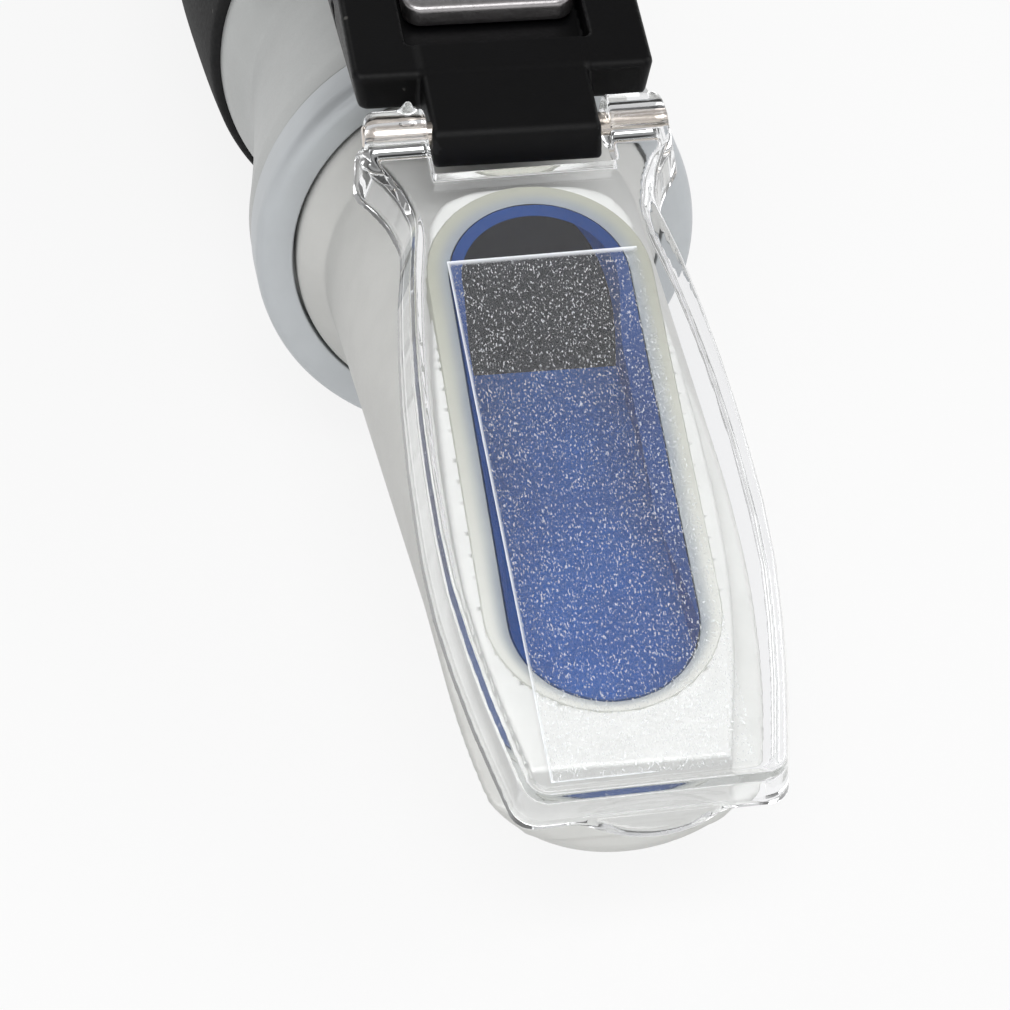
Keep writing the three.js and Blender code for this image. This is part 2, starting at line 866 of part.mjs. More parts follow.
function stripScrew() {
  const under = stripTop - stripThick - fit;
  return upright(
    [
      [0, under - edge],
      [stripRivetHead, under - edge],
      [stripRivetHead, under],
      [stripRivet, under],
      [stripRivet, -frameBore - fit],
      [0, -frameBore - fit],
    ],
    0,
    rivetY,
  );
}

function reticleRingSolid() {
  const seat = reticleY - fit;
  return turned(
    [
      [reticleSight, seat - reticleRing + reticleThick],
      [innerFit, seat - reticleRing + reticleThick],
      [innerFit, reticleY + reticleThick],
      [reticleRadius + fit, reticleY + reticleThick],
      [reticleRadius + fit, seat],
      [reticleSight, seat],
    ],
    innerSides,
  );
}

function eyepieceTube() {
  const grooveAt = sealRingAt;
  const half = sealRingWire + fit;
  const floor = ringBore - fit - 2 * sealRingWire - fit;
  return turned(
    [
      [innerTubeBore, innerTubeFront],
      [innerFit, innerTubeFront],
      [innerFit, barrelEnd + fit],
      [innerTubeNose, barrelEnd + fit],
      [innerTubeNose, grooveAt - half],
      [floor, grooveAt - half],
      [floor, grooveAt + half],
      [innerTubeNose, grooveAt + half],
      [innerTubeNose, innerTubeEnd],
      [innerTubeBore, innerTubeEnd],
    ],
    innerSides,
  );
}

function eyepieceORing() {
  const middle = ringBore - fit - sealRingWire;
  const points = [];
  const steps = 8;
  for (let i = 0; i < steps; i += 1) {
    const angle = (2 * Math.PI * i) / steps;
    points.push([middle + sealRingWire * Math.cos(angle), sealRingAt + sealRingWire * Math.sin(angle)]);
  }
  return turned(points, innerSides);
}

// Moving eyepiece: the lens cell slides while the focus ring turns round it
const webFront = innerTubeEnd + focusTravel + fit;
const webBack = webFront + ringWeb;
const flangeFront = webBack + fit;
const flangeBack = flangeFront + cellFlangeThick;
const ringFront = barrelEnd + focusTravel + 2 * fit;
const bossEnd = webBack + ringBossLength;

function lensCell() {
  const lensBore = eyepieceLensRadius + fit;
  return turned(
    [
      [cellStop, cellFront],
      [cellRadius, cellFront],
      [cellRadius, flangeFront],
      [cellFlange, flangeFront],
      [cellFlange, flangeBack],
      [lensBore, flangeBack],
      [lensBore, cellFront + cellStopThick],
      [cellStop, cellFront + cellStopThick],
    ],
    innerSides,
  );
}

const fieldLensFront = cellFront + cellStopThick + fit;
const fieldLensBack = fieldLensFront + eyepieceLensEdge;
const spacerFront = fieldLensBack + fit;
const eyeLensFront = spacerFront + eyepieceSpacer + fit;
const eyeLensBack = eyeLensFront + eyepieceLensEdge;
const cellRetainerFront = eyeLensBack + fit;
const eyepieceClear = cellStop - fit;

const eyepieceLens = (front, back, frontBulge, backBulge) =>
  lens(eyepieceLensRadius, eyepieceClear, front, back, frontBulge, backBulge);
const fieldLens = () => eyepieceLens(fieldLensFront, fieldLensBack, 0, eyepieceLensBulge);
const eyeLens = () => eyepieceLens(eyeLensFront, eyeLensBack, eyepieceLensBulge, 0);
const eyepieceRing = (from, length) => ring(cellStop, eyepieceLensRadius, from, from + length, innerSides);
const lensSpacer = () => eyepieceRing(spacerFront, eyepieceSpacer);
const lensRetainer = () => eyepieceRing(cellRetainerFront, retainerLength);

function focusRing() {
  const body = turned([
    [ringBore, ringFront],
    [ringRadius - edge, ringFront],
    [ringRadius, ringFront + edge],
    [ringRadius, webBack - edge],
    [ringRadius - edge, webBack],
    [ringBoss, webBack],
    [ringBoss, bossEnd],
    [cellFlange + fit, bossEnd],
    [cellFlange + fit, webBack],
    [cellRadius + fit, webBack],
    [cellRadius + fit, webFront],
    [ringBore, webFront],
  ]);
  const flutes = [];
  for (let i = 0; i < ringKnurls; i += 1) {
    const angle = (2 * Math.PI * (i + 0.5)) / ringKnurls;
    const centre = ringRadius + ringFlute - knurlDepth;
    const flute = turnedGeometry(
      [
        [0, ringFront + 2 * edge + ringFlute],
        [ringFlute, ringFront + 3 * edge + ringFlute],
        [ringFlute, webBack - 3 * edge - ringFlute],
        [0, webBack - 2 * edge - ringFlute],
      ],
      6,
    );
    flute.translate(centre * Math.cos(angle), 0, centre * Math.sin(angle));
    flutes.push(solidOf(flute));
  }
  return without(body, ...flutes);
}

function eyecup() {
  const front = webBack + fit;
  const floorFront = bossEnd + fit;
  const floorBack = cupEnd - cupDepth;
  return turned([
    [ringBoss + fit, front],
    [cupWaist, front],
    [cupWaist + edge, front + edge],
    [cupRadius, floorFront],
    [cupRadius, cupEnd - edge],
    [cupRadius - edge, cupEnd],
    [cupHollow, cupEnd],
    [cupHollow - 2 * edge, floorBack],
    [cupFloor, floorBack],
    [cupFloor, floorFront],
    [ringBoss + fit, floorFront],
  ]);
}

// Assembly
const group = new THREE.Group();
const slopeGroup = new THREE.Group();
slopeGroup.position.set(0, windowY, windowZ);
slopeGroup.rotation.x = slope;
const coverGroup = new THREE.Group();
coverGroup.position.set(0, pinUp, pinRise);
coverGroup.rotation.z = plateYaw;
slopeGroup.add(coverGroup);
group.add(slopeGroup);

function place(parent, name, solid, color, roughness, metalness) {
  const material = new THREE.MeshStandardMaterial({ color, roughness, metalness });
  const mesh = new THREE.Mesh(geometryOf(solid), material);
  mesh.name = name;
  parent.add(mesh);
  return mesh;
}

// Brings a solid made in the part's frame into the slope group without moving it
const fromSlope = slopeFrame.clone().invert();
function ontoSlope(solid) {
  return solidOf(geometryOf(solid).applyMatrix4(fromSlope));
}

const silver = 0xb4b7b6;
const black = 0x141416;
const darkMetal = 0x3a3b3d;
const steel = 0xc4c4c0;
const brass = 0xb59a55;
const clear = 0xeef2f4;

place(coverGroup, "daylight_plate", coverPlate(), clear, 0.08, 0);
place(slopeGroup, "prism", ontoSlope(prismSolid(0, 0)), 0x3f5c9c, 0.05, 0);
place(slopeGroup, "prism_seal", ontoSlope(sealSolid(fit, sealWidth + fit, sealDepth, 0)), 0x9a9c90, 0.7, 0);
place(group, "prism_head", prismHead(), silver, 0.45, 0.5);
place(group, "collar_ring", collarRing(), silver, 0.35, 0.7);
place(group, "barrel", barrel(), silver, 0.4, 0.6);
place(group, "grip_sleeve", gripSleeve(), black, 0.85, 0);
place(group, "hinge_block", hingeBlock(), black, 0.5, 0);
place(group, "hinge_pin", hingePin(), steel, 0.25, 1);
place(group, "calibration_cap", calibrationCap(), steel, 0.35, 1);
place(group, "calibration_screw", calibrationScrew(), brass, 0.35, 1);
place(group, "calibration_seal", calibrationRing(), black, 0.8, 0);
blockScrewPlaces().forEach(([x, y], i) => {
  place(group, `block_screw_${i + 1}`, blockScrew(x, y), steel, 0.3, 1);
});
place(group, "light_baffle", lightBaffle(), darkMetal, 0.9, 0.2);
place(group, "objective_holder", objectiveHolder(), darkMetal, 0.6, 0.5);
place(group, "objective_lens", objectiveLens(), clear, 0.02, 0);
place(group, "objective_retainer", objectiveRetainer(), darkMetal, 0.6, 0.5);
place(group, "objective_frame", objectiveFrame(), darkMetal, 0.6, 0.5);
place(group, "bimetal_strip", bimetalStrip(), brass, 0.4, 1);
place(group, "strip_screw", stripScrew(), steel, 0.3, 1);
place(group, "reticle", rod(reticleRadius, reticleY, reticleY + reticleThick - fit, innerSides), clear, 0.02, 0);
place(group, "reticle_ring", reticleRingSolid(), darkMetal, 0.6, 0.5);
place(group, "eyepiece_tube", eyepieceTube(), darkMetal, 0.5, 0.7);
place(group, "eyepiece_o_ring", eyepieceORing(), black, 0.8, 0);
place(group, "lens_cell", lensCell(), darkMetal, 0.5, 0.6);
place(group, "field_lens", fieldLens(), clear, 0.02, 0);
place(group, "lens_spacer", lensSpacer(), darkMetal, 0.7, 0.4);
place(group, "eye_lens", eyeLens(), clear, 0.02, 0);
place(group, "lens_retainer", lensRetainer(), darkMetal, 0.6, 0.5);
place(group, "focus_ring", focusRing(), black, 0.6, 0);
place(group, "eyecup", eyecup(), black, 0.9, 0);

// Origin at the bottom centre of the whole part
const bounds = new THREE.Box3().setFromObject(group);
group.position.y = -(bounds.min.y + bounds.max.y) / 2;
group.position.x = -(bounds.min.x + bounds.max.x) / 2;
group.position.z = -bounds.min.z;

export default group;
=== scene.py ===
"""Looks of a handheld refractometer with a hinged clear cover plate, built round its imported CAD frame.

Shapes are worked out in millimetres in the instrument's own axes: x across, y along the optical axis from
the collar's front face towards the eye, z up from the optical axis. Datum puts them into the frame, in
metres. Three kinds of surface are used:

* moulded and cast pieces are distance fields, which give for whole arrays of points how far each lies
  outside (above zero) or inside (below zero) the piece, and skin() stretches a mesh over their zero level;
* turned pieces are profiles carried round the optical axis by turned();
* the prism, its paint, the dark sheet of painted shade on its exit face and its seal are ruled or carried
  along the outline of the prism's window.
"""

import logging
import math
from collections.abc import Callable, Sequence
from dataclasses import dataclass
from enum import Enum
from functools import cache

import bmesh
import bpy
import numpy as np
from mathutils import Matrix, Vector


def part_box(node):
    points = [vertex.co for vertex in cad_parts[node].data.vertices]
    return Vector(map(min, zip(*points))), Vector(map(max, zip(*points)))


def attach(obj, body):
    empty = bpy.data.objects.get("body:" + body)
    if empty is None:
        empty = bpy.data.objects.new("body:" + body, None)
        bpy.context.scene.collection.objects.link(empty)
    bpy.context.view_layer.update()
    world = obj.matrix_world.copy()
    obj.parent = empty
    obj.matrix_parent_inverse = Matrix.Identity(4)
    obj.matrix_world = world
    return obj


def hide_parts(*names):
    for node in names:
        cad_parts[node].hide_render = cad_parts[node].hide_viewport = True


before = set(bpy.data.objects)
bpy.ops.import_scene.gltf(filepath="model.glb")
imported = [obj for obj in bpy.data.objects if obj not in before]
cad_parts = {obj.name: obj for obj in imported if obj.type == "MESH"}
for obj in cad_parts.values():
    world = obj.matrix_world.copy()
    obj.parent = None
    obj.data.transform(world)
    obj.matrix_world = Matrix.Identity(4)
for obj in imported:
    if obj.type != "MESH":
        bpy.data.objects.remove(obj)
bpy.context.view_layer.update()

log = logging.getLogger("refractometer")

Array = np.ndarray
Field = Callable[[Array, Array, Array], Array]
Socket = bpy.types.NodeSocket
Node = bpy.types.Node
Row2 = tuple[float, float]
Row3 = tuple[float, float, float]

MM = 0.001
WHITE = (1.0, 1.0, 1.0, 1.0)


# Axes


@dataclass(frozen=True)
class Datum:
    """Where the instrument's own axes start in the frame, in metres."""

    origin: Array

    @classmethod
    def on_collar(cls) -> "Datum":
        """The point of the optical axis in the collar's front face, from the collar ring's box."""
        low, high = (np.array(corner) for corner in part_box("collar_ring"))
        return cls(np.array([(low[0] + high[0]) / 2, low[1], (low[2] + high[2]) / 2]))

    def place(self, points: Array) -> Array:
        """Rows of x, y, z in the instrument's axes, in millimetres, taken into the frame, in metres."""
        return points * MM + self.origin


@dataclass(frozen=True)
class SlopeAxes:
    """Axes on the prism's sloping face: x across, v up the slope, n square to it."""

    angle: float = math.radians(22.4)
    y: float = -23.75
    z: float = 10.9

    def from_body(self, y: Array, z: Array) -> tuple[Array, Array]:
        """v and n of points.

        Args:
            y: places along the optical axis.
            z: heights above the optical axis.

        Returns:
            How far up the slope and how far above it the points lie.
        """
        along, up = y - self.y, z - self.z
        c, s = math.cos(self.angle), math.sin(self.angle)
        return along * c + up * s, up * c - along * s

    def to_body(self, points: Array) -> Array:
        """Points given as x, v, n, in the instrument's axes.

        Args:
            points: rows of x, v, n.

        Returns:
            Rows of x, y, z.
        """
        x, v, n = points[..., 0], points[..., 1], points[..., 2]
        c, s = math.cos(self.angle), math.sin(self.angle)
        return np.stack([x, self.y + v * c - n * s, self.z + v * s + n * c], axis=-1)


@dataclass(frozen=True)
class CoverAxes:
    """Axes of the cover plate: x along its pin, s down the plate from the pin, h above the prism's face."""

    slope: SlopeAxes
    pin_up: float = 12.0
    pin_rise: float = 1.25
    yaw: float = math.radians(1.4)

    def to_body(self, points: Array) -> Array:
        """Points given as x, s, h, in the instrument's axes.

        Args:
            points: rows of x, s, h.

        Returns:
            Rows of x, y, z.
        """
        x, v, n = points[..., 0], -points[..., 1], points[..., 2]
        c, s = math.cos(self.yaw), math.sin(self.yaw)
        turned_rows = np.stack([x * c - v * s, x * s + v * c + self.pin_up, n], axis=-1)
        return self.slope.to_body(turned_rows)


DATUM = Datum.on_collar()
SLOPE = SlopeAxes()
COVER = CoverAxes(SLOPE)


# Surfaces


@dataclass
class Surface:
    """A mesh as arrays: points in millimetres, faces as rows of four indices, -1 filling a triangle's row."""

    points: Array
    faces: Array
    normals: Array | None = None

    def moved(self, mapping: Callable[[Array], Array]) -> "Surface":
        """The surface with its points, and the directions of its normals, taken through a mapping.

        Args:
            mapping: a turn and a shift for rows of points.

        Returns:
            The moved surface.
        """
        points = mapping(self.points)
        if self.normals is None:
            return Surface(points, self.faces)
        return Surface(points, self.faces, mapping(self.points + self.normals) - points)

    def faces_out(self) -> "Surface":
        """The closed surface with its faces pointing outwards, by the sign of its volume."""
        a, b, c = (self.points[self.faces[:, i]] for i in range(3))
        d = np.where(self.faces[:, 3:] < 0, c, self.points[self.faces[:, 3]])
        volume = (a * np.cross(b, c)).sum() + (a * np.cross(c, d)).sum()
        if volume < 0:
            quads = self.faces[:, 3] >= 0
            flipped = self.faces[:, [2, 1, 0, 3]].copy()
            flipped[quads] = self.faces[quads][:, ::-1]
            self.faces = flipped
        return self

    def compact(self) -> "Surface":
        """The surface without the points that no face uses."""
        used = np.unique(self.faces[self.faces >= 0])
        lookup = np.full(len(self.points), -1)
        lookup[used] = np.arange(len(used))
        faces = np.where(self.faces >= 0, lookup[self.faces], -1)
        normals = None if self.normals is None else self.normals[used]
        return Surface(self.points[used], faces, normals)


def joined(*surfaces: Surface) -> Surface:
    """Several surfaces as one.

    Args:
        surfaces: the surfaces, none with its own normals.

    Returns:
        One surface that holds them all.
    """
    starts = np.cumsum([0] + [len(s.points) for s in surfaces[:-1]])
    faces = [np.where(s.faces >= 0, s.faces + start, -1) for s, start in zip(surfaces, starts)]
    return Surface(np.concatenate([s.points for s in surfaces]), np.concatenate(faces))


def grid_faces(index: Array) -> Array:
    """Faces of a grid of point numbers. Where two neighbours in a row are the same point, a triangle is left.

    Args:
        index: point numbers, as a grid of rows and columns.

    Returns:
        Rows of four point numbers.
    """
    a, b = index[:-1, :-1].ravel(), index[1:, :-1].ravel()
    c, d = index[1:, 1:].ravel(), index[:-1, 1:].ravel()
    faces = np.stack([a, b, c, d], axis=1)
    faces[a == d, 3] = -1
    narrow = b == c
    faces[narrow] = np.stack([a, b, d, np.full_like(a, -1)], axis=1)[narrow]
    return faces


def woven(points: Array, closed: bool = False) -> Surface:
    """A surface over a grid of points.

    Args:
        points: the points, in rows and columns.
        closed: whether the last row and column join the first.

    Returns:
        The surface.
    """
    index = np.arange(points.shape[0] * points.shape[1]).reshape(points.shape[:2])
    if closed:
        index = np.pad(index, (0, 1), mode="wrap")
    return Surface(points.reshape(-1, 3), grid_faces(index))


def rounded(corners: Sequence[Row3], closed: bool = True, steps: int = 5) -> Array:
    """A profile with its corners rounded.

    Each corner C with a fillet f becomes the curve (1-t)^2 A + 2t(1-t) C + t^2 B, where A and B lie f away
    from C on its two sides.

    Args:
        corners: radius, place along the axis and fillet of each corner.
        closed: whether the last corner joins the first.
        steps: pieces in each rounded corner.

    Returns:
        Rows of radius and place.
    """
    share = np.linspace(0, 1, steps + 1)[:, None]
    rows = []
    for i, (radius, along, fillet) in enumerate(corners):
        here = np.array([radius, along])
        if fillet <= 0 or (not closed and i in (0, len(corners) - 1)):
            rows.append(here[None])
            continue
        sides = [np.array(corners[(i + k) % len(corners)][:2]) - here for k in (-1, 1)]
        reach = [min(fillet, 0.48 * np.linalg.norm(side)) * side / np.linalg.norm(side) for side in sides]
        first, last = here + reach[0], here + reach[1]
        rows.append((1 - share) ** 2 * first + 2 * share * (1 - share) * here + share**2 * last)
    return np.concatenate(rows)


def turned(profile: Array, sides: int = 160, swell: Callable[[Array, Array], Array] | None = None) -> Surface:
    """Carries a profile round the optical axis.

    Formula: point(i, a) = (r cos a, y, r sin a), with r = radius(i) + swell(y, a).

    Args:
        profile: rows of radius and place along the axis. If it starts and ends on the axis it closes in
            poles there, and otherwise it closes on itself.
        sides: steps round the axis.
        swell: what is added to the radius at a place and an angle.

    Returns:
        The closed surface.
    """
    radius, along = profile.T
    angle = np.arange(sides) * (2 * math.pi / sides)
    on_axis = radius < 1e-9
    spread = np.repeat(radius[:, None], sides, axis=1)
    if swell is not None:
        spread = spread + np.where(on_axis[:, None], 0.0, swell(along[:, None], angle[None]))
    place = np.repeat(along[:, None], sides, axis=1)
    points = np.stack([spread * np.cos(angle), place, spread * np.sin(angle)], axis=-1).reshape(-1, 3)
    index = np.arange(len(points)).reshape(len(radius), sides)
    index[on_axis] = index[on_axis][:, :1]
    if not on_axis[0]:
        index = np.vstack([index, index[:1]])
    index = np.hstack([index, index[:, :1]])
    return Surface(points, grid_faces(index)).compact().faces_out()


def ruled(first: Array, last: Array, steps: int) -> Surface:
    """A sheet of straight spans between two curves: point(i, t) = (1-t) first(i) + t last(i).

    Args:
        first: rows of points of one curve.
        last: as many rows of the other.
        steps: pieces in each span.

    Returns:
        The open sheet.
    """
    share = np.linspace(0, 1, steps + 1)[None, :, None]
    return woven(first[:, None] * (1 - share) + last[:, None] * share)


# Distance fields. The last value given to both(), either() and without() is an edge's or corner's radius.


def both(first: Array, second: Array, radius: float = 0.0) -> Array:
    """What lies in both fields, with the edge between them rounded.

    Formula: min(max(a, b), -r) + length(max(a + r, 0), max(b + r, 0)).

    Args:
        first: one field's values.
        second: the other's.
        radius: of the rounded edge.

    Returns:
        The values of the common part.
    """
    if radius <= 0:
        return np.maximum(first, second)
    outside = np.hypot(np.maximum(first + radius, 0), np.maximum(second + radius, 0))
    return np.minimum(np.maximum(first, second), -radius) + outside


def either(first: Array, second: Array, radius: float = 0.0) -> Array:
    """What lies in one field or the other, with a fillet in the corner between them."""
    return -both(-first, -second, radius)


def without(whole: Array, tool: Array, radius: float = 0.0) -> Array:
    """What is left of a field when another is cut away, with the cut's edges rounded."""
    return both(whole, -tool, radius)


def between(value: Array, low: float, high: float) -> Array:
    """The field of a slab: how far a coordinate lies outside its two faces."""
    return np.maximum(low - value, value - high)


def stadium(x: Array, v: Array, half: float, run: float) -> Array:
    """Distance from a slot with round ends, from v = 0 to -run: from its middle line, less its half width."""
    return np.hypot(x, v - np.clip(v, -run, 0)) - half


def slopes(shape: Field, points: Array, step: float = 0.01) -> Array:
    """Directions in which a field grows, by central differences.

    Args:
        shape: the field.
        points: rows of points.
        step: the difference's half width.

    Returns:
        One row for each point, not normalised.
    """
    rows = []
    for axis in range(3):
        shift = np.zeros(3)
        shift[axis] = step
        rows.append((shape(*(points + shift).T) - shape(*(points - shift).T)) / (2 * step))
    return np.stack(rows, axis=1)


# skin() evens its points out before this round, moves none by more than this share of a cell, and takes
# its normals from differences of this half width in millimetres.
RELAX_BEFORE = 3
LONGEST_STEP = 0.6
NORMAL_STEP = 0.03


def skin(shape: Field, low: Sequence[float], high: Sequence[float], cell: float, rounds: int = 7) -> Surface:
    """Stretches a mesh of quads over the zero level of a field.

    Each cell of a grid whose corners lie on both sides gets one point. It starts at the cell's middle and
    steps by -f g / |g|^2, where f is the field's value and g its slope, until it lies on the surface. Each
    grid edge that crosses the surface joins the points of the four cells round it. Part of the way through
    the points are evened out. Their normals are the field's slopes.

    Args:
        shape: the field.
        low: the grid's lowest corner.
        high: its highest corner.
        cell: the grid's spacing.
        rounds: steps towards the surface.

    Returns:
        The closed surface.
    """
    start = np.array(low, float)
    counts = np.ceil((np.array(high, float) - start) / cell).astype(int) + 1
    axes = [start[i] + cell * np.arange(counts[i]) for i in range(3)]
    inside = shape(*np.meshgrid(*axes, indexing="ij")) < 0
    corners = sum(
        inside[i : counts[0] - 1 + i, j : counts[1] - 1 + j, k : counts[2] - 1 + k].astype(np.int8)
        for i in (0, 1)
        for j in (0, 1)
        for k in (0, 1)
    )
    mixed = (corners > 0) & (corners < 8)
    number = np.full(mixed.shape, -1)
    number[mixed] = np.arange(mixed.sum())
    points = start + cell * (np.argwhere(mixed) + 0.5)
    faces = []
    for axis in range(3):
        second, third = (axis + 1) % 3, (axis + 2) % 3
        here = np.argwhere(np.diff(inside, axis=axis) != 0)
        here = here[(here[:, second] > 0) & (here[:, third] > 0)]
        here = here[(here[:, second] < mixed.shape[second]) & (here[:, third] < mixed.shape[third])]
        ring = []
        for back_second, back_third in ((1, 1), (0, 1), (0, 0), (1, 0)):
            place = here.copy()
            place[:, second] -= back_second
            place[:, third] -= back_third
            ring.append(number[tuple(place.T)])
        quads = np.stack(ring, axis=1)
        leaving = inside[tuple(here.T)]
        quads[~leaving] = quads[~leaving][:, ::-1]
        faces.append(quads)
    quads = np.concatenate(faces)
    for turn in range(rounds):
        if turn == RELAX_BEFORE:
            points = relaxed(points, quads)
        value = shape(*points.T)[:, None]
        growth = slopes(shape, points)
        step = -value * growth / np.maximum((growth**2).sum(axis=1, keepdims=True), 1e-6)
        points = points + np.clip(step, -LONGEST_STEP * cell, LONGEST_STEP * cell)
    normals = slopes(shape, points, NORMAL_STEP)
    normals /= np.maximum(np.linalg.norm(normals, axis=1, keepdims=True), 1e-9)
    return Surface(points, quads, normals)


def relaxed(points: Array, quads: Array, share: float = 0.5) -> Array:
    """Points moved part of the way to the mean of their neighbours, which evens out the quads.

    Args:
        points: rows of points.
        quads: rows of four point numbers.
        share: how far they go.

    Returns:
        The moved points.
    """
    total, count = np.zeros_like(points), np.zeros(len(points))
    for corner in range(4):
        here, after = quads[:, corner], quads[:, (corner + 1) % 4]
        for axis in range(3):
            total[:, axis] += np.bincount(here, points[after, axis], len(points))
        count += np.bincount(here, minlength=len(points))
    mean = total / np.maximum(count, 1)[:, None]
    return points + share * (mean - points)


class Outline:
    """A closed outline in two directions, with a table of the distances round it."""

    def __init__(self, corners: Array, pitch: float = 0.2, margin: float = 6.0) -> None:
        """Fills the table: the distance to the nearest side, below zero inside by the even-odd rule.

        Args:
            corners: rows of the two coordinates, in order round the outline.
            pitch: the table's spacing.
            margin: how far it reaches outside the outline.
        """
        self.pitch = pitch
        self.low = corners.min(axis=0) - margin
        counts = np.ceil((corners.max(axis=0) + margin - self.low) / pitch).astype(int) + 1
        a, b = (self.low[i] + pitch * np.arange(counts[i]) for i in (0, 1))
        place = np.stack(np.meshgrid(a, b, indexing="ij"), axis=-1)[..., None, :]
        start, end = corners, np.roll(corners, -1, axis=0)
        side = end - start
        share = np.clip(((place - start) * side).sum(-1) / (side**2).sum(-1), 0, 1)
        away = np.linalg.norm(place - start - share[..., None] * side, axis=-1).min(axis=-1)
        crosses = (start[:, 1] > place[..., 1]) != (end[:, 1] > place[..., 1])
        rise = np.where(side[:, 1] == 0, 1, side[:, 1])
        reach = start[:, 0] + (place[..., 1] - start[:, 1]) * side[:, 0] / rise
        inside = (crosses & (place[..., 0] < reach)).sum(axis=-1) % 2 == 1
        self.table = np.where(inside, -away, away)

    def distance(self, a: Array, b: Array) -> Array:
        """Distances read from the table, with straight interpolation.

        Args:
            a: first coordinates.
            b: second coordinates.

        Returns:
            The distances, below zero inside.
        """
        limit = np.array(self.table.shape) - 1.001
        u = np.clip((a - self.low[0]) / self.pitch, 0, limit[0])
        w = np.clip((b - self.low[1]) / self.pitch, 0, limit[1])
        i, j = u.astype(int), w.astype(int)
        u, w = u - i, w - j
        near = self.table[i, j] * (1 - w) + self.table[i, j + 1] * w
        far = self.table[i + 1, j] * (1 - w) + self.table[i + 1, j + 1] * w
        return near * (1 - u) + far * u


def smooth_table(points: Sequence[Row2], blur: float, pitch: float = 0.05) -> tuple[Array, Array]:
    """A smooth curve through points: straight pieces, averaged twice over a width.

    Args:
        points: rows of place and value, in rising order of place.
        blur: the width.
        pitch: the table's spacing.

    Returns:
        The table's places and values.
    """
    place, value = np.array(points, float).T
    fine = np.arange(place[0], place[-1] + pitch, pitch)
    rows = np.interp(fine, place, value)
    width = max(1, round(blur / pitch / 2)) * 2 + 1
    kernel = np.convolve(np.ones(width), np.ones(width))
    kernel /= kernel.sum()
    padded = np.pad(rows, len(kernel) // 2, mode="edge")
    return fine, np.convolve(padded, kernel, mode="valid")


# Shader nodes


class Graph:
    """Adds nodes to one tree and joins them."""

    def __init__(self, tree: bpy.types.NodeTree) -> None:
        """Keeps the tree that the nodes go to."""
        self.tree = tree

    def add(self, kind: str, inputs: dict[str | int, object] | None = None, **settings: object) -> Node:
        """Adds a node.

        Args:
            kind: the node's type.
            inputs: a value or a socket for each named input.
            settings: the node's own properties.

        Returns:
            The node.
        """
        node = self.tree.nodes.new(kind)
        for name, value in settings.items():
            setattr(node, name, value)
        for name, value in (inputs or {}).items():
            self.plug(node.inputs[name], value)
        return node

    def plug(self, socket: Socket, value: object) -> None:
        """Sets an input, or links it where the value is a socket.

        Args:
            socket: the input.
            value: a value or a socket.
        """
        if isinstance(value, Socket):
            self.tree.links.new(value, socket)
        else:
            socket.default_value = value

    def math(self, operation: str, *values: object) -> Socket:
        """The result of a Math node with an operation and its inputs."""
        return self.add("ShaderNodeMath", dict(enumerate(values)), operation=operation).outputs[0]

    def times(self, first: Socket, second: object) -> Socket:
        """The product of two values."""
        return self.math("MULTIPLY", first, second)

    def largest(self, first: Socket, *others: Socket) -> Socket:
        """The largest of several values."""
        for other in others:
            first = self.math("MAXIMUM", first, other)
        return first

    def ramp(
        self, value: Socket, low: object, high: object, to_low: float = 0.0, to_high: float = 1.0
    ) -> Socket:
        """A value brought from one range into another, smoothly and held at its ends."""
        inputs = {"Value": value, "From Min": low, "From Max": high, "To Min": to_low, "To Max": to_high}
        return self.add("ShaderNodeMapRange", inputs, interpolation_type="SMOOTHSTEP").outputs[0]

    def tint(self, share: Socket | float, first: object, second: object) -> Socket:
        """A mix of two colours, by the share of the second."""
        return self.add("ShaderNodeMix", {0: share, 6: first, 7: second}, data_type="RGBA").outputs[2]

    def noise(self, vector: Socket, scale: object, detail: float = 2.0, roughness: float = 0.5) -> Socket:
        """The value of a noise texture, mostly from 0.3 to 0.7."""
        inputs = {"Vector": vector, "Scale": scale, "Detail": detail, "Roughness": roughness}
        return self.add("ShaderNodeTexNoise", inputs).outputs[0]

    def stretched(self, vector: Socket, scale: Sequence[float], turn: Sequence[float] = (0, 0, 0)) -> Socket:
        """Coordinates turned, in radians about each axis, and then scaled."""
        inputs = {"Vector": vector, "Scale": tuple(scale), "Rotation": tuple(turn)}
        return self.add("ShaderNodeMapping", inputs).outputs[0]


class Effect(Enum):
    """Effects that several finishes share, each a node group."""

    GRAIN = "surface_grain"
    LATHE = "lathe_marks"
    WEAR = "edge_wear"
    DUST = "loose_dust"


class EffectGraph(Graph):
    """The tree of one shared effect: a node group that gives plain values only."""

    def __init__(self, effect: Effect, outputs: Sequence[str], **inputs: float) -> None:
        """Starts the group.

        Args:
            effect: which effect it is for.
            outputs: names of its outputs.
            inputs: the default of each input beside the vector.
        """
        super().__init__(bpy.data.node_groups.new(effect.value, "ShaderNodeTree"))
        sockets = self.tree.interface
        sockets.new_socket("Vector", in_out="INPUT", socket_type="NodeSocketVector")
        for name, default in inputs.items():
            socket = sockets.new_socket(name, in_out="INPUT", socket_type="NodeSocketFloat")
            socket.default_value = default
        for name in outputs:
            sockets.new_socket(name, in_out="OUTPUT", socket_type="NodeSocketFloat")
        self.given = self.add("NodeGroupInput").outputs
        self.vector = self.given["Vector"]

    def give(self, **outputs: Socket) -> bpy.types.NodeTree:
        """Ends the group with the sockets that its outputs give."""
        self.add("NodeGroupOutput", outputs)
        return self.tree


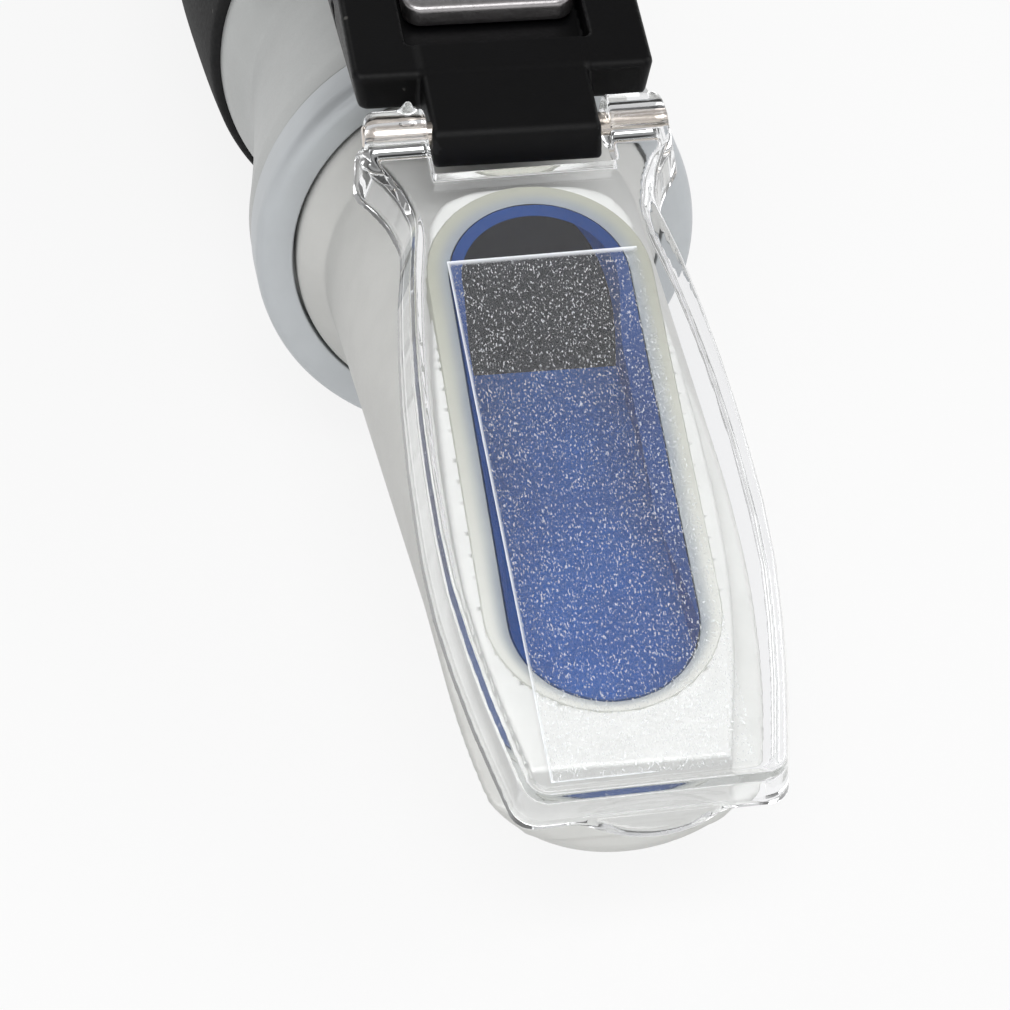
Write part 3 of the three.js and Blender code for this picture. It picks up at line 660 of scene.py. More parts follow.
def build_grain() -> bpy.types.NodeTree:
    """Fine even grain with broader mottling, as a value about 0.5 and a mottle mask."""
    g = EffectGraph(Effect.GRAIN, ("Grain", "Mottle"), Scale=4000.0)
    fine = g.noise(g.vector, g.given["Scale"], 3.0, 0.6)
    broad = g.noise(g.vector, g.times(g.given["Scale"], 0.06), 3.0, 0.55)
    return g.give(Grain=fine, Mottle=g.ramp(broad, 0.35, 0.65))


def build_lathe() -> bpy.types.NodeTree:
    """Fine lines round the optical axis: noise read along y, a little upset round the piece."""
    g = EffectGraph(Effect.LATHE, ("Lines",), Pitch=9000.0)
    stretched = g.stretched(g.vector, (0.02, 1.0, 0.02))
    fine = g.noise(stretched, g.given["Pitch"], 2.0, 0.7)
    coarse = g.noise(stretched, g.times(g.given["Pitch"], 0.13), 2.0, 0.5)
    return g.give(Lines=g.math("ADD", g.times(fine, 0.7), g.times(coarse, 0.3)))


def build_wear() -> bpy.types.NodeTree:
    """Rubbed edges: where the surface is pointed, broken up by noise."""
    g = EffectGraph(Effect.WEAR, ("Mask",), Pointiness=0.5, Start=0.52, Width=0.06)
    upset = g.times(g.math("SUBTRACT", g.noise(g.vector, 900.0, 4.0, 0.65), 0.5), 0.08)
    sharp = g.math("ADD", g.given["Pointiness"], upset)
    end = g.math("ADD", g.given["Start"], g.given["Width"])
    return g.give(Mask=g.ramp(sharp, g.given["Start"], end))


def build_dust() -> bpy.types.NodeTree:
    """Sparse specks of dust, as a mask: small cells, kept where a broad noise is high."""
    g = EffectGraph(Effect.DUST, ("Mask",), Amount=0.02)
    cells = g.add("ShaderNodeTexVoronoi", {"Vector": g.vector, "Scale": 700.0, "Randomness": 1.0})
    speck = g.ramp(cells.outputs["Distance"], 0.05, 0.16, 1.0, 0.0)
    least = g.math("SUBTRACT", 0.72, g.given["Amount"])
    chosen = g.math("GREATER_THAN", g.noise(g.vector, 260.0, 1.0), least)
    return g.give(Mask=g.times(speck, chosen))


BUILDERS: dict[Effect, Callable[[], bpy.types.NodeTree]] = {
    Effect.GRAIN: build_grain,
    Effect.LATHE: build_lathe,
    Effect.WEAR: build_wear,
    Effect.DUST: build_dust,
}


# A ray that clear plastic or glass has thrown back more often than this goes straight on.
MOST_REFLECTIONS = 1.5


class MaterialGraph(Graph):
    """The tree of one material, with its Principled shader."""

    def __init__(self, name: str) -> None:
        """Starts the material.

        Args:
            name: its name.
        """
        self.material = bpy.data.materials.new(name)
        self.material.use_nodes = True
        super().__init__(self.material.node_tree)
        self.tree.nodes.clear()
        self.shader = self.add("ShaderNodeBsdfPrincipled")
        self.output = self.add("ShaderNodeOutputMaterial", {"Surface": self.shader.outputs[0]})
        self.coords = self.add("ShaderNodeTexCoord").outputs["Object"]

    def effect(self, effect: Effect, **inputs: object) -> Node:
        """Places a shared effect with its inputs, building its group the first time."""
        group = bpy.data.node_groups.get(effect.value) or BUILDERS[effect]()
        return self.add("ShaderNodeGroup", {"Vector": self.coords, **inputs}, node_tree=group)

    def pointiness(self) -> Socket:
        """How sharply the surface turns."""
        return self.add("ShaderNodeNewGeometry").outputs["Pointiness"]

    def set(self, **values: object) -> None:
        """Sets the shader's inputs to values or sockets, with _ for a space in their names."""
        for name, value in values.items():
            self.plug(self.shader.inputs[name.replace("_", " ")], value)

    def bump(self, height: Socket, distance: float, strength: float = 1.0) -> None:
        """Puts a bump on the shader's normal; a height of 1 stands for the distance, in metres."""
        inputs = {"Height": height, "Distance": distance, "Strength": strength}
        self.set(Normal=self.add("ShaderNodeBump", inputs).outputs[0])

    def attribute(self, name: str) -> Socket:
        """A value that the piece's points carry."""
        return self.add("ShaderNodeAttribute", attribute_name=name).outputs["Fac"]

    def blend(self, share: Socket, other: Node) -> None:
        """Puts a second shader over the first, by a share."""
        mixed = self.add("ShaderNodeMixShader", {0: share, 1: self.shader.outputs[0], 2: other.outputs[0]})
        self.plug(self.output.inputs["Surface"], mixed.outputs[0])

    def let_lamps_through(self, colour: Sequence[float]) -> None:
        """Lets lamps light what lies behind the glass.

        Rays from lamps pass straight through, and so do rays that a thin wall has thrown back and forth
        inside it, which would otherwise end as dark bands.

        Args:
            colour: the share of each colour that passes.
        """
        path = self.add("ShaderNodeLightPath").outputs
        thrown_back = self.math("GREATER_THAN", path["Glossy Depth"], MOST_REFLECTIONS)
        clear = self.add("ShaderNodeBsdfTransparent", {"Color": (*colour, 1.0)})
        self.blend(self.largest(path["Is Shadow Ray"], thrown_back), clear)


def linear(r: float, g: float, b: float, share: float = 1.0) -> tuple[float, ...]:
    """A colour for a socket.

    Args:
        r: red from 0 to 255, as seen on a screen.
        g: green.
        b: blue.
        share: how much light of it is left.

    Returns:
        The linear colour with alpha 1.
    """
    seen = np.array([r, g, b]) / 255
    rows = np.where(seen <= 0.04045, seen / 12.92, ((seen + 0.055) / 1.055) ** 2.4)
    return (*(float(value) * share for value in rows), 1.0)


# Finishes

# Where a noise texture's values mostly lie.
NOISE = (0.3, 0.7)


class Marks(Enum):
    """How a metal surface was worked."""

    TURNED = "turned"
    BLASTED = "blasted"
    BRUSHED = "brushed"


@dataclass(frozen=True)
class SatinMetal:
    """Light alloy or steel with the marks of how it was worked."""

    name: str
    colour: Row3
    metallic: float
    roughness: float
    marks: Marks
    depth: float = 4e-6
    mottle: float = 0.965
    grain: float = 5200.0
    pitch: float = 7000.0
    brushing: float = 9000.0

    def material(self) -> bpy.types.Material:
        """The finish's material."""
        g = MaterialGraph(self.name)
        grain = g.effect(Effect.GRAIN, Scale=self.grain)
        if self.marks is Marks.TURNED:
            worked = g.effect(Effect.LATHE, Pitch=self.pitch).outputs["Lines"]
        elif self.marks is Marks.BRUSHED:
            worked = g.noise(g.stretched(g.coords, (1.0, 0.03, 1.0)), self.brushing, 3.0, 0.6)
        else:
            worked = grain.outputs["Grain"]
        colours = (linear(*self.colour, share) for share in (self.mottle, 1.0))
        g.set(
            Base_Color=g.tint(grain.outputs["Mottle"], *colours),
            Metallic=self.metallic,
            Roughness=g.ramp(worked, *NOISE, self.roughness - 0.05, self.roughness + 0.06),
        )
        g.bump(worked, self.depth)
        return g.material


@dataclass(frozen=True)
class Moulding:
    """Opaque moulded plastic or rubber, with grain and rubbed edges."""

    name: str
    colour: Row3
    worn: Row3
    roughness: float
    specular: float
    grain: float
    depth: float
    wear_start: float = 0.53
    rubbing: float = 0.6
    mottle: float = 1.25
    dust: Row3 = (120, 118, 114)
    dust_share: float = 0.35

    def material(self) -> bpy.types.Material:
        """The finish's material."""
        g = MaterialGraph(self.name)
        grain = g.effect(Effect.GRAIN, Scale=self.grain)
        wear = g.effect(Effect.WEAR, Pointiness=g.pointiness(), Start=self.wear_start)
        dust = g.effect(Effect.DUST, Amount=0.03)
        colours = (linear(*self.colour, share) for share in (1.0, self.mottle))
        cloudy = g.tint(grain.outputs["Mottle"], *colours)
        rubbed = g.tint(g.times(wear.outputs["Mask"], self.rubbing), cloudy, linear(*self.worn))
        share = g.times(dust.outputs["Mask"], self.dust_share)
        g.set(
            Base_Color=g.tint(share, rubbed, linear(*self.dust)),
            Roughness=g.ramp(grain.outputs["Grain"], *NOISE, self.roughness - 0.06, self.roughness + 0.06),
            Specular_IOR_Level=self.specular,
        )
        g.bump(grain.outputs["Grain"], self.depth)
        return g.material


@dataclass(frozen=True)
class ClearMoulding:
    """Clear moulded plastic, very slightly wavy."""

    name: str
    ior: float = 1.49
    roughness: float = 0.02
    wave: float = 2.5e-6
    wave_scale: float = 220.0
    tint: Row3 = (0.962, 0.965, 0.975)
    passing: Row3 = (0.93, 0.94, 0.94)

    def material(self) -> bpy.types.Material:
        """The finish's material."""
        g = MaterialGraph(self.name)
        waves = g.noise(g.coords, self.wave_scale, 2.0, 0.4)
        dust = g.effect(Effect.DUST, Amount=0.0)
        g.set(
            Base_Color=(*self.tint, 1.0),
            Transmission_Weight=1.0,
            IOR=self.ior,
            Roughness=g.ramp(dust.outputs["Mask"], 0.0, 1.0, self.roughness, self.roughness + 0.25),
        )
        g.bump(waves, self.wave)
        g.let_lamps_through(self.passing)
        return g.material


@dataclass(frozen=True)
class Frosting:
    """Fine texture on the pad under the plate: short white streaks over a thin veil, and a painted highlight
    along the marked rim.
    """

    name: str
    veil: float = 0.024
    streak: float = 0.44
    slant: float = math.radians(-38)
    scale: float = 9400.0
    specks: Row2 = (0.63, 0.76)
    colour: Row3 = (236, 238, 240)

    def material(self) -> bpy.types.Material:
        """The finish's material."""
        g = MaterialGraph(self.name)
        slanted = g.stretched(g.coords, (1.0, 0.4, 1.0), (0, 0, self.slant))
        streaks = g.noise(slanted, self.scale, 1.0, 0.5)
        cloud = g.noise(g.coords, 700.0, 2.0, 0.5)
        bright = g.ramp(g.math("ADD", streaks, g.times(cloud, 0.12)), *self.specks)
        veil = g.ramp(streaks, *NOISE, self.veil * 0.6, self.veil * 1.5)
        # The "rim" attribute is a painted highlight: the marked edges show as opaque white.
        alpha = g.largest(veil, g.times(bright, self.streak), g.attribute("rim"))
        g.set(Base_Color=linear(*self.colour), Roughness=0.6, Alpha=alpha, Specular_IOR_Level=0.3)
        g.bump(streaks, 8e-6)
        return g.material


@dataclass(frozen=True)
class PolishedGlass:
    """Polished optical glass, with a thin coating on lenses."""

    name: str
    ior: float = 1.52
    tint: Row3 = (0.97, 0.98, 0.985)
    coated: bool = False
    coat: Row3 = (0.55, 0.5, 0.9)
    passing: Row3 = (0.9, 0.91, 0.92)

    def material(self) -> bpy.types.Material:
        """The finish's material."""
        g = MaterialGraph(self.name)
        smear = g.noise(g.coords, 160.0, 3.0, 0.6)
        g.set(
            Base_Color=(*self.tint, 1.0),
            Transmission_Weight=1.0,
            IOR=self.ior,
            Roughness=g.ramp(smear, 0.45, 0.7, 0.0, 0.03),
        )
        if self.coated:
            g.set(Coat_Weight=0.4, Coat_Roughness=0.03, Coat_Tint=(*self.coat, 1.0))
        g.let_lamps_through(self.passing)
        return g.material


@dataclass(frozen=True)
class PaintFilm:
    """Opaque film on the prism's hidden faces, seen through the glass: blue paint, and on the exit face a
    dark sheet of painted shade that stands for the dark bore behind it.
    """

    name: str
    colour: Row3
    shade: Row3
    grain: float = 2600.0

    def material(self) -> bpy.types.Material:
        """The finish's material."""
        g = MaterialGraph(self.name)
        grain = g.effect(Effect.GRAIN, Scale=self.grain)
        colour = g.tint(grain.outputs["Mottle"], linear(*self.shade), linear(*self.colour))
        g.set(Base_Color=colour, Roughness=0.8, Specular_IOR_Level=0.1)
        g.bump(grain.outputs["Grain"], 4e-6)
        return g.material


@dataclass(frozen=True)
class SealCompound:
    """Pale sealing compound with painted shade: darker towards the glass and towards the window's upper end.
    """

    name: str
    colour: Row3
    inner: Row3
    upper: Row3
    grain: float = 3000.0

    def material(self) -> bpy.types.Material:
        """The finish's material."""
        g = MaterialGraph(self.name)
        grain = g.effect(Effect.GRAIN, Scale=self.grain)
        # Painted shade: the inner and upper colours darken the bead towards the glass and towards the
        # window's upper end.
        outer = g.tint(g.attribute("upward"), linear(*self.colour), linear(*self.upper))
        shade = g.tint(g.ramp(g.attribute("inward"), 0.25, 0.95), outer, linear(*self.inner))
        pale = g.tint(g.times(grain.outputs["Mottle"], 0.25), shade, outer)
        g.set(Base_Color=pale, Roughness=0.45, Specular_IOR_Level=0.4)
        g.bump(grain.outputs["Grain"], 6e-6)
        return g.material


class Finish(Enum):
    """Every finish on the instrument."""

    CLEAR = ClearMoulding("clear_moulding")
    FROST = Frosting("pad_frosting")
    PRISM = PolishedGlass("prism_glass", tint=(0.86, 0.9, 0.97))
    LENS = PolishedGlass("lens_glass", coated=True)
    BLUE = PaintFilm("blue_film", (36, 100, 180), (31, 93, 172))
    EDGE = PaintFilm("blue_edge", (32, 76, 142), (28, 68, 132))
    # Painted shade: a dark sheet on the exit face stands for the shade inside the bore behind the glass.
    EXIT_SHADE = PaintFilm("dark_exit", (20, 18, 26), (15, 13, 20))
    # The seal's inner and upper colours are painted shade.
    SEAL = SealCompound("seal_compound", (198, 198, 192), (138, 144, 150), (160, 160, 148))
    HEAD = SatinMetal("head_metal", (213, 213, 210), 0.25, 0.5, Marks.BLASTED, 5e-6)
    RING = SatinMetal("ring_metal", (196, 200, 203), 0.55, 0.38, Marks.TURNED, 4e-6)
    TUBE = SatinMetal("tube_metal", (188, 190, 189), 0.45, 0.42, Marks.BLASTED, 4e-6)
    BLOCK = Moulding("black_moulding", (5, 5, 6), (34, 34, 36), 0.44, 0.17, 5200.0, 8e-6)
    RUBBER = Moulding("black_rubber", (17, 17, 18), (38, 38, 39), 0.75, 0.3, 3200.0, 1.6e-5)
    STEEL = SatinMetal("pin_steel", (214, 205, 196), 1.0, 0.16, Marks.TURNED, 2e-6)
    CAP = SatinMetal("cap_steel", (190, 187, 188), 1.0, 0.34, Marks.BRUSHED, 4e-6)
    BRASS = SatinMetal("brass", (186, 160, 96), 1.0, 0.3, Marks.TURNED, 4e-6)
    BLACKENED = SatinMetal("black_anodised", (34, 34, 36), 0.6, 0.5, Marks.TURNED, 4e-6)


@cache
def paint(finish: Finish) -> bpy.types.Material:
    """The finish's material, built the first time that it is asked for."""
    return finish.value.material()


# Pieces


@dataclass(frozen=True)
class Label:
    """What the frame needs to know of a piece."""

    name: str
    body: str
    slot: str
    nodes: tuple[str, ...] = ()


def placed(name: str, data: bpy.types.ID) -> bpy.types.Object:
    """A new object in the scene."""
    thing = bpy.data.objects.new(name, data)
    bpy.context.scene.collection.objects.link(thing)
    return thing


def publish(label: Label, surface: Surface, finish: Finish, crease: float | None = None) -> bpy.types.Object:
    """Makes a surface an object that rides on its body and stands for its nodes.

    Args:
        label: its name, body, slot and nodes.
        surface: its mesh.
        finish: its material.
        crease: the angle in degrees past which edges stay sharp, where the surface has no normals of its own.

    Returns:
        The object.
    """
    used = surface.faces >= 0
    corners = surface.faces[used].astype(np.int32)
    sizes = used.sum(axis=1)
    mesh = bpy.data.meshes.new(label.name)
    mesh.vertices.add(len(surface.points))
    mesh.vertices.foreach_set("co", DATUM.place(surface.points).astype(np.float32).ravel())
    mesh.loops.add(len(corners))
    mesh.loops.foreach_set("vertex_index", corners)
    mesh.polygons.add(len(sizes))
    mesh.polygons.foreach_set("loop_start", np.concatenate([[0], np.cumsum(sizes)[:-1]]).astype(np.int32))
    mesh.update(calc_edges=True)
    mesh.validate()
    mesh.shade_smooth()
    if surface.normals is not None:
        mesh.normals_split_custom_set_from_vertices(surface.normals)
    elif crease is not None:
        mesh.set_sharp_from_angle(angle=math.radians(crease))
    mesh.materials.append(paint(finish))
    piece = placed(label.name, mesh)
    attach(piece, label.body)
    if label.nodes:
        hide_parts(*label.nodes)
    log.info("%s: %d points, %d faces, on %s", label.name, len(surface.points), len(sizes), label.body)
    return piece


def mark(piece: bpy.types.Object, name: str, values: Array) -> None:
    """Gives each of a piece's points a value that its material reads."""
    attribute = piece.data.attributes.new(name, "FLOAT", "POINT")
    attribute.data.foreach_set("value", values.astype(np.float32))


def dress(node: str, finish: Finish) -> None:
    """Gives a CAD node its material.

    Args:
        node: the node.
        finish: its finish.
    """
    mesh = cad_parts[node].data
    mesh.materials.clear()
    mesh.materials.append(paint(finish))
    log.info("%s: CAD node, %s", node, finish.value.name)


@dataclass
class CoverPlate:
    """The clear cover plate: a panel with leaning skirts, a front wall and two ears on the hinge pin."""

    top: float = 2.45
    under: float = 0.55
    wall: float = 0.9
    tip_wall: float = 0.9
    drop: float = 1.9
    lean: float = 1.0
    ear_half: float = 10.1
    neck_half: float = 8.0
    belly_half: float = 10.2
    tip_half: float = 7.65
    length: float = 51.0
    ear_run: float = 2.6
    neck_at: float = 7.4
    belly_at: float = 32.0
    notch_half: float = 6.1
    notch_run: float = 4.1
    knuckle: float = 1.8
    bore: float = 0.87
    tab_half: float = 4.4
    tab_reach: float = 1.35
    tab_thick: float = 1.0
    corner: float = 1.1
    inner_corner: float = 0.8
    edge: float = 0.24
    rake: float = 0.75
    ear_round: float = 0.7
    nub_x: float = -7.2
    nub_s: float = -1.0
    nub_radius: float = 0.55
    pad_half: float = 6.3
    pad_rear: float = 10.6
    pad_front: float = 49.6
    pad_under: float = 0.3
    pad_rim: float = 0.27
    cell: float = 0.2

    def __post_init__(self) -> None:
        """Works out the half width along the plate: straight ears, a neck, a belly and a narrower tip."""
        ears = [(0.0, 1.0), (0.22, 0.64), (0.55, 0.26), (1.0, 0.0)]
        belly = [(0.05, 0.05), (0.19, 0.35), (0.36, 0.6), (0.53, 0.79), (0.7, 0.91), (0.85, 0.97), (1.0, 1.0)]
        tip = [(0.21, 0.95), (0.42, 0.784), (0.63, 0.553), (0.84, 0.25), (1.0, 0.0)]
        stretches = (
            (self.ear_run, self.neck_at, self.neck_half, self.ear_half, ears),
            (self.neck_at, self.belly_at, self.neck_half, self.belly_half, belly),
            (self.belly_at, self.length, self.tip_half, self.belly_half, tip),
        )
        rows = [(-6.0, self.ear_half)]
        for start, end, narrow, wide, shares in stretches:
            rows += [(start + (end - start) * a, narrow + (wide - narrow) * w) for a, w in shares]
        rows.append((self.length + 6.0, self.tip_half - 1.2))
        self.places, self.halves = smooth_table(rows, 0.7)
        self.grade = np.gradient(self.halves, self.places)

    def side(self, x: Array, s: Array, h: Array) -> Array:
        """Distance outside the outline, which leans out towards the skirts' lower edge.

        Formula: (|x| / lean - half(s)) / sqrt(1 + half'(s)^2), lean growing from 1 at the top face.

        Args:
            x: across the plate.
            s: down the plate.
            h: above the prism's face.

        Returns:
            The distances.
        """
        share = (self.top - h) / (self.top + self.drop)
        lean = 1 + self.lean / self.belly_half * np.clip(share, -0.2, 1.2)
        half = np.interp(s, self.places, self.halves)
        grade = np.interp(s, self.places, self.grade)
        return (np.abs(x) / lean - half) / np.sqrt(1 + grade**2)

    def shape(self, x: Array, s: Array, h: Array) -> Array:
        """The plate's field in its own axes.

        Args:
            x: across the plate.
            s: down the plate from the pin.
            h: above the prism's face.

        Returns:
            The field's values.
        """
        side = self.side(x, s, h)
        rise = h - COVER.pin_rise
        outside = both(side, s - self.length, self.corner)
        body = both(both(outside, h - self.top, self.edge), -self.drop - h, 0.2)
        body = both(body, -s, 0.3)
        hollow = both(side + self.wall, s - self.length + self.tip_wall, self.inner_corner)
        hollow = both(hollow, h - self.under, self.edge)
        shell = without(body, hollow, 0.18)
        above = rise + self.knuckle
        raked = (above + self.rake * s) / math.hypot(1, self.rake)
        shell = without(shell, np.maximum(raked, above), 0.3)
        barrel = both(np.hypot(s, rise) - self.knuckle, np.abs(x) - self.ear_half, self.ear_round)
        shell = either(shell, barrel, 0.35)
        notch = both(np.abs(x) - self.notch_half, s - self.notch_run, 0.1)
        shell = without(shell, notch, 0.22)
        reach = self.length + self.tab_reach * (1 - (x / self.tab_half) ** 2)
        tab = both(s - reach, between(h, -self.drop, -self.drop + self.tab_thick), 0.3)
        tab = both(tab, self.length - self.tip_wall / 2 - s)
        shell = either(shell, tab, 0.25)
        nub = np.hypot(x - self.nub_x, s - self.nub_s) - self.nub_radius + 0.4 * (rise - 1.4)
        shell = either(shell, both(nub, between(rise, 0.6, 2.35), 0.15), 0.15)
        return without(shell, np.hypot(s, rise) - self.bore, 0.05)

    def pad(self) -> tuple[Surface, Array]:
        """The frosted pad's skin: a flat face with a narrow sloping rim.

        Formula: points on a grid of x and s, at the pad's height inside and at the panel's outside the rim.

        Returns:
            The sheet, in the plate's axes, and 1 for each point of the rim on the left and rear edges, where
            a painted highlight goes, else 0.
        """
        rim, half, rear, front = self.pad_rim, self.pad_half, self.pad_rear, self.pad_front
        x = np.concatenate([[-half], np.linspace(-half + rim, half - rim, 40), [half]])
        s = np.concatenate([[rear], np.linspace(rear + rim, front - rim, 120), [front]])
        xs, ss = np.meshgrid(x, s, indexing="ij")
        middle, reach = (s[0] + s[-1]) / 2, (s[-1] - s[0]) / 2
        edge = (np.abs(xs) > half - rim / 2) | (np.abs(ss - middle) > reach - rim / 2)
        height = np.where(edge, self.under - 0.03, self.pad_under)
        # Painted highlight: only the rim's left and rear edges are marked, and the pad's material shows them
        # as opaque white lines.
        painted_rim_highlight = edge & ((xs < 0) | (ss < rear + rim))
        return woven(np.stack([xs, ss, height], axis=-1)), painted_rim_highlight.ravel().astype(float)

    def build(self) -> None:
        """Makes the plate and its pad."""
        low = (-self.belly_half - self.lean - 0.6, -self.knuckle - 0.6, -self.drop - 0.5)
        high = (self.belly_half + self.lean + 0.6, self.length + self.tab_reach + 0.6, COVER.pin_rise + 2.9)
        plate = skin(self.shape, low, high, self.cell)
        plate.faces = plate.faces[:, ::-1]
        label = Label("cover_plate", "cover", "clear_plastic", ("daylight_plate",))
        publish(label, plate.moved(COVER.to_body), Finish.CLEAR)
        sheet, painted_rim_highlight = self.pad()
        label = Label("plate_pad", "cover", "clear_plastic")
        # The "rim" mark carries the painted highlight on the pad's left and rear edges.
        mark(publish(label, sheet.moved(COVER.to_body), Finish.FROST, 30), "rim", painted_rim_highlight)


@dataclass
class Prism:
    """The prism, the film on its hidden faces and the seal round its window."""

    half: float = 5.95
    run: float = 26.2
    floor: float = 4.5
    film_inset: float = 0.06
    rim_depth: float = 0.04
    rim_width: float = 0.75
    rim_left: float = 0.45
    rim_right: float = 1.35
    rim_reach: float = 6.0
    seal_gap: float = 0.05
    seal_width: float = 1.47
    seal_depth: float = 1.2
    seal_lift: float = 0.7
    upper_shade_run: float = 9.0
    steps: int = 28
    crease: float = 20.0

    def side_curve(self, inset: float) -> Array:
        """The right half of the window's outline from its upper to its lower end, as rows of x and v.

        Formula: quarter circles about (0, 0) and (0, -run) joined by a straight side.

        Args:
            inset: how far inside the window the outline runs.

        Returns:
            The rows.
        """
        radius = self.half - inset
        turn = np.linspace(math.pi / 2, 0, self.steps)
        upper = np.stack([radius * np.cos(turn), radius * np.sin(turn)], axis=1)
        straight = np.linspace(0, -self.run, self.steps)[1:-1]
        middle = np.stack([np.full_like(straight, radius), straight], axis=1)
        lower = np.stack([radius * np.cos(-turn[::-1]), -self.run + radius * np.sin(-turn[::-1])], axis=1)
        curve = np.concatenate([upper, middle, lower])
        curve[[0, -1], 0] = 0.0
        return curve

    def depths(self, curve: Array, inset: float) -> tuple[Array, Array]:
        """How deep the wall under each point goes, square to the face.

        Formula: the smaller of the depth at which it meets the level floor and that at which it meets the
        upright exit face.

        Args:
            curve: rows of x and v.
            inset: how far inside the prism the film runs.

        Returns:
            The depths, and True where the exit face ends the wall.
        """
        c, s = math.cos(SLOPE.angle), math.sin(SLOPE.angle)
        exit_y = SLOPE.y + self.half * c - inset
        to_floor = (SLOPE.z + curve[:, 1] * s + self.floor - inset) / c
        to_exit = (exit_y - SLOPE.y - curve[:, 1] * c) / s
        return np.maximum(np.minimum(to_floor, to_exit), 0.0), to_exit < to_floor

    def faces(self, inset: float, top: float) -> dict[str, Surface]:
        """The prism's faces as ruled sheets: top, right and left wall, exit face and floor.

        Args:
            inset: how far inside the prism they run.
            top: the height of the walls' upper edge.

        Returns:
            The sheets by name.
        """
        curve = self.side_curve(inset)
        depth, by_exit = self.depths(curve, inset)
        upper = SLOPE.to_body(np.column_stack([curve, np.full(len(curve), top)]))
        lower = SLOPE.to_body(np.column_stack([curve, -depth]))
        mirror = np.array([-1.0, 1.0, 1.0])
        last = int(by_exit.sum())
        return {
            "top": ruled(upper * mirror, upper, 12),
            "right": ruled(upper, lower, 8),
            "left": ruled(lower * mirror, upper * mirror, 8),
            "exit": ruled(lower[: last + 1] * mirror, lower[: last + 1], 12),
            "floor": ruled(lower[last:] * mirror, lower[last:], 12),
        }

    def rim(self) -> Surface:
        """The film on the bevel round the window: a sheet that leans inwards, as wide on each side as seen.

        Formula: spans from the outline, just under the face, to the outline inset by width(v), at a depth of
        half that width. The width goes smoothly from the upper end's to the side's, and to none at the
        lower end.

        Returns:
            The open sheet.
        """
        sides = []
        outer = self.side_curve(self.film_inset)
        chosen = outer[:, 1] > -self.run - 1.0
        centre = np.column_stack([np.zeros(len(outer)), np.clip(outer[:, 1], -self.run, 0)])
        inward = centre - outer
        inward /= np.linalg.norm(inward, axis=1, keepdims=True)
        for side, wide in ((1.0, self.rim_right), (-1.0, self.rim_left)):
            share = np.clip(-outer[:, 1] / self.rim_reach, 0, 1)
            width = self.rim_width + (wide - self.rim_width) * share * share * (3 - 2 * share)
            width = (width * np.clip((outer[:, 1] + self.run + 1.0) / 8.0, 0, 1))[:, None]
            inner = outer + width * inward
            flip = np.array([side, 1.0])
            upper = np.column_stack([outer * flip, np.full(len(outer), -self.rim_depth)])
            lower = np.column_stack([inner * flip, -self.rim_depth - width / 2])
            sides.append(ruled(SLOPE.to_body(upper[chosen]), SLOPE.to_body(lower[chosen]), 2))
        return joined(*sides)

    def seal(self) -> tuple[Surface, Array]:
        """The bead of compound, a section carried along the window's outline.

        Formula: point(i, j) = outline(i) + outward normal(i) * offset(j), at height(j) above the face. Round
        the lower end the outer edge is lifted, so the bead is narrower there.

        Returns:
            The closed bead in the slope's axes, and how far inwards each point lies, from 0 to 1.
        """
        turn = np.linspace(0, math.pi, 2 * self.steps + 1)
        upper = np.stack([np.cos(turn), np.sin(turn)], axis=1)
        normals = np.concatenate([upper, -upper])
        centres = np.zeros_like(normals)
        centres[len(upper) :, 1] = -self.run
        low, high = self.seal_gap, self.seal_gap + self.seal_width
        offset = np.array([low, low + 0.2, low + 0.55, high - 0.35, high - 0.1, high, high, low])
        height = np.array([-0.1, -0.05, -0.02, 0.04, 0.035, -0.1, -self.seal_depth, -self.seal_depth])
        rows = centres[:, None] + normals[:, None] * (self.half + offset)[None, :, None]
        rows[len(upper) :, :, 1] += self.seal_lift * ((offset - low) / self.seal_width)[None, :]
        points = np.concatenate([rows, np.broadcast_to(height[None, :, None], (*rows.shape[:2], 1))], axis=2)
        share = np.clip(1 - (offset - low) / self.seal_width, 0, 1)
        return woven(points, closed=True), np.tile(share, len(points))

    def build(self) -> None:
        """Makes the glass, the films and the seal."""
        glass = joined(*self.faces(0.0, 0.0).values())
        label = Label("prism_glass", "body", "prism_glass", ("prism",))
        weld(publish(label, glass, Finish.PRISM, self.crease))
        inner = self.faces(self.film_inset, -0.03)
        walls = joined(inner["right"], inner["left"], inner["floor"])
        publish(Label("prism_film", "body", "prism_glass"), walls, Finish.BLUE, self.crease)
        publish(Label("prism_bevel", "body", "prism_glass"), self.rim(), Finish.EDGE, self.crease)
        # Painted shade on the exit face: the dark sheet stands for the shadowed bore seen through the glass.
        publish(Label("prism_exit", "body", "prism_glass"), inner["exit"], Finish.EXIT_SHADE, self.crease)
        bead, inward = self.seal()
        label = Label("window_seal", "body", "seal_rubber", ("prism_seal",))
        seal = publish(label, bead.moved(SLOPE.to_body).faces_out(), Finish.SEAL, 50)
        # Painted shade masks: "inward" darkens the bead towards the glass, and the upper share darkens it
        # towards the window's upper end.
        mark(seal, "inward", inward)
        upward = np.clip((bead.points[:, 1] + self.upper_shade_run) / self.upper_shade_run, 0, 1)
        mark(seal, "upward", upward**2 * (3 - 2 * upward))


def weld(piece: bpy.types.Object, reach: float = 1e-6) -> None:
    """Joins the doubled points along a piece's seams and turns its faces outwards.

    Args:
        piece: the object.
        reach: how far apart joined points may lie, in metres.
    """
    work = bmesh.new()
    work.from_mesh(piece.data)
    bmesh.ops.remove_doubles(work, verts=work.verts, dist=reach)
    bmesh.ops.recalc_face_normals(work, faces=work.faces)
    work.to_mesh(piece.data)
    work.free()
    piece.data.shade_smooth()
    piece.data.set_sharp_from_angle(angle=math.radians(20))


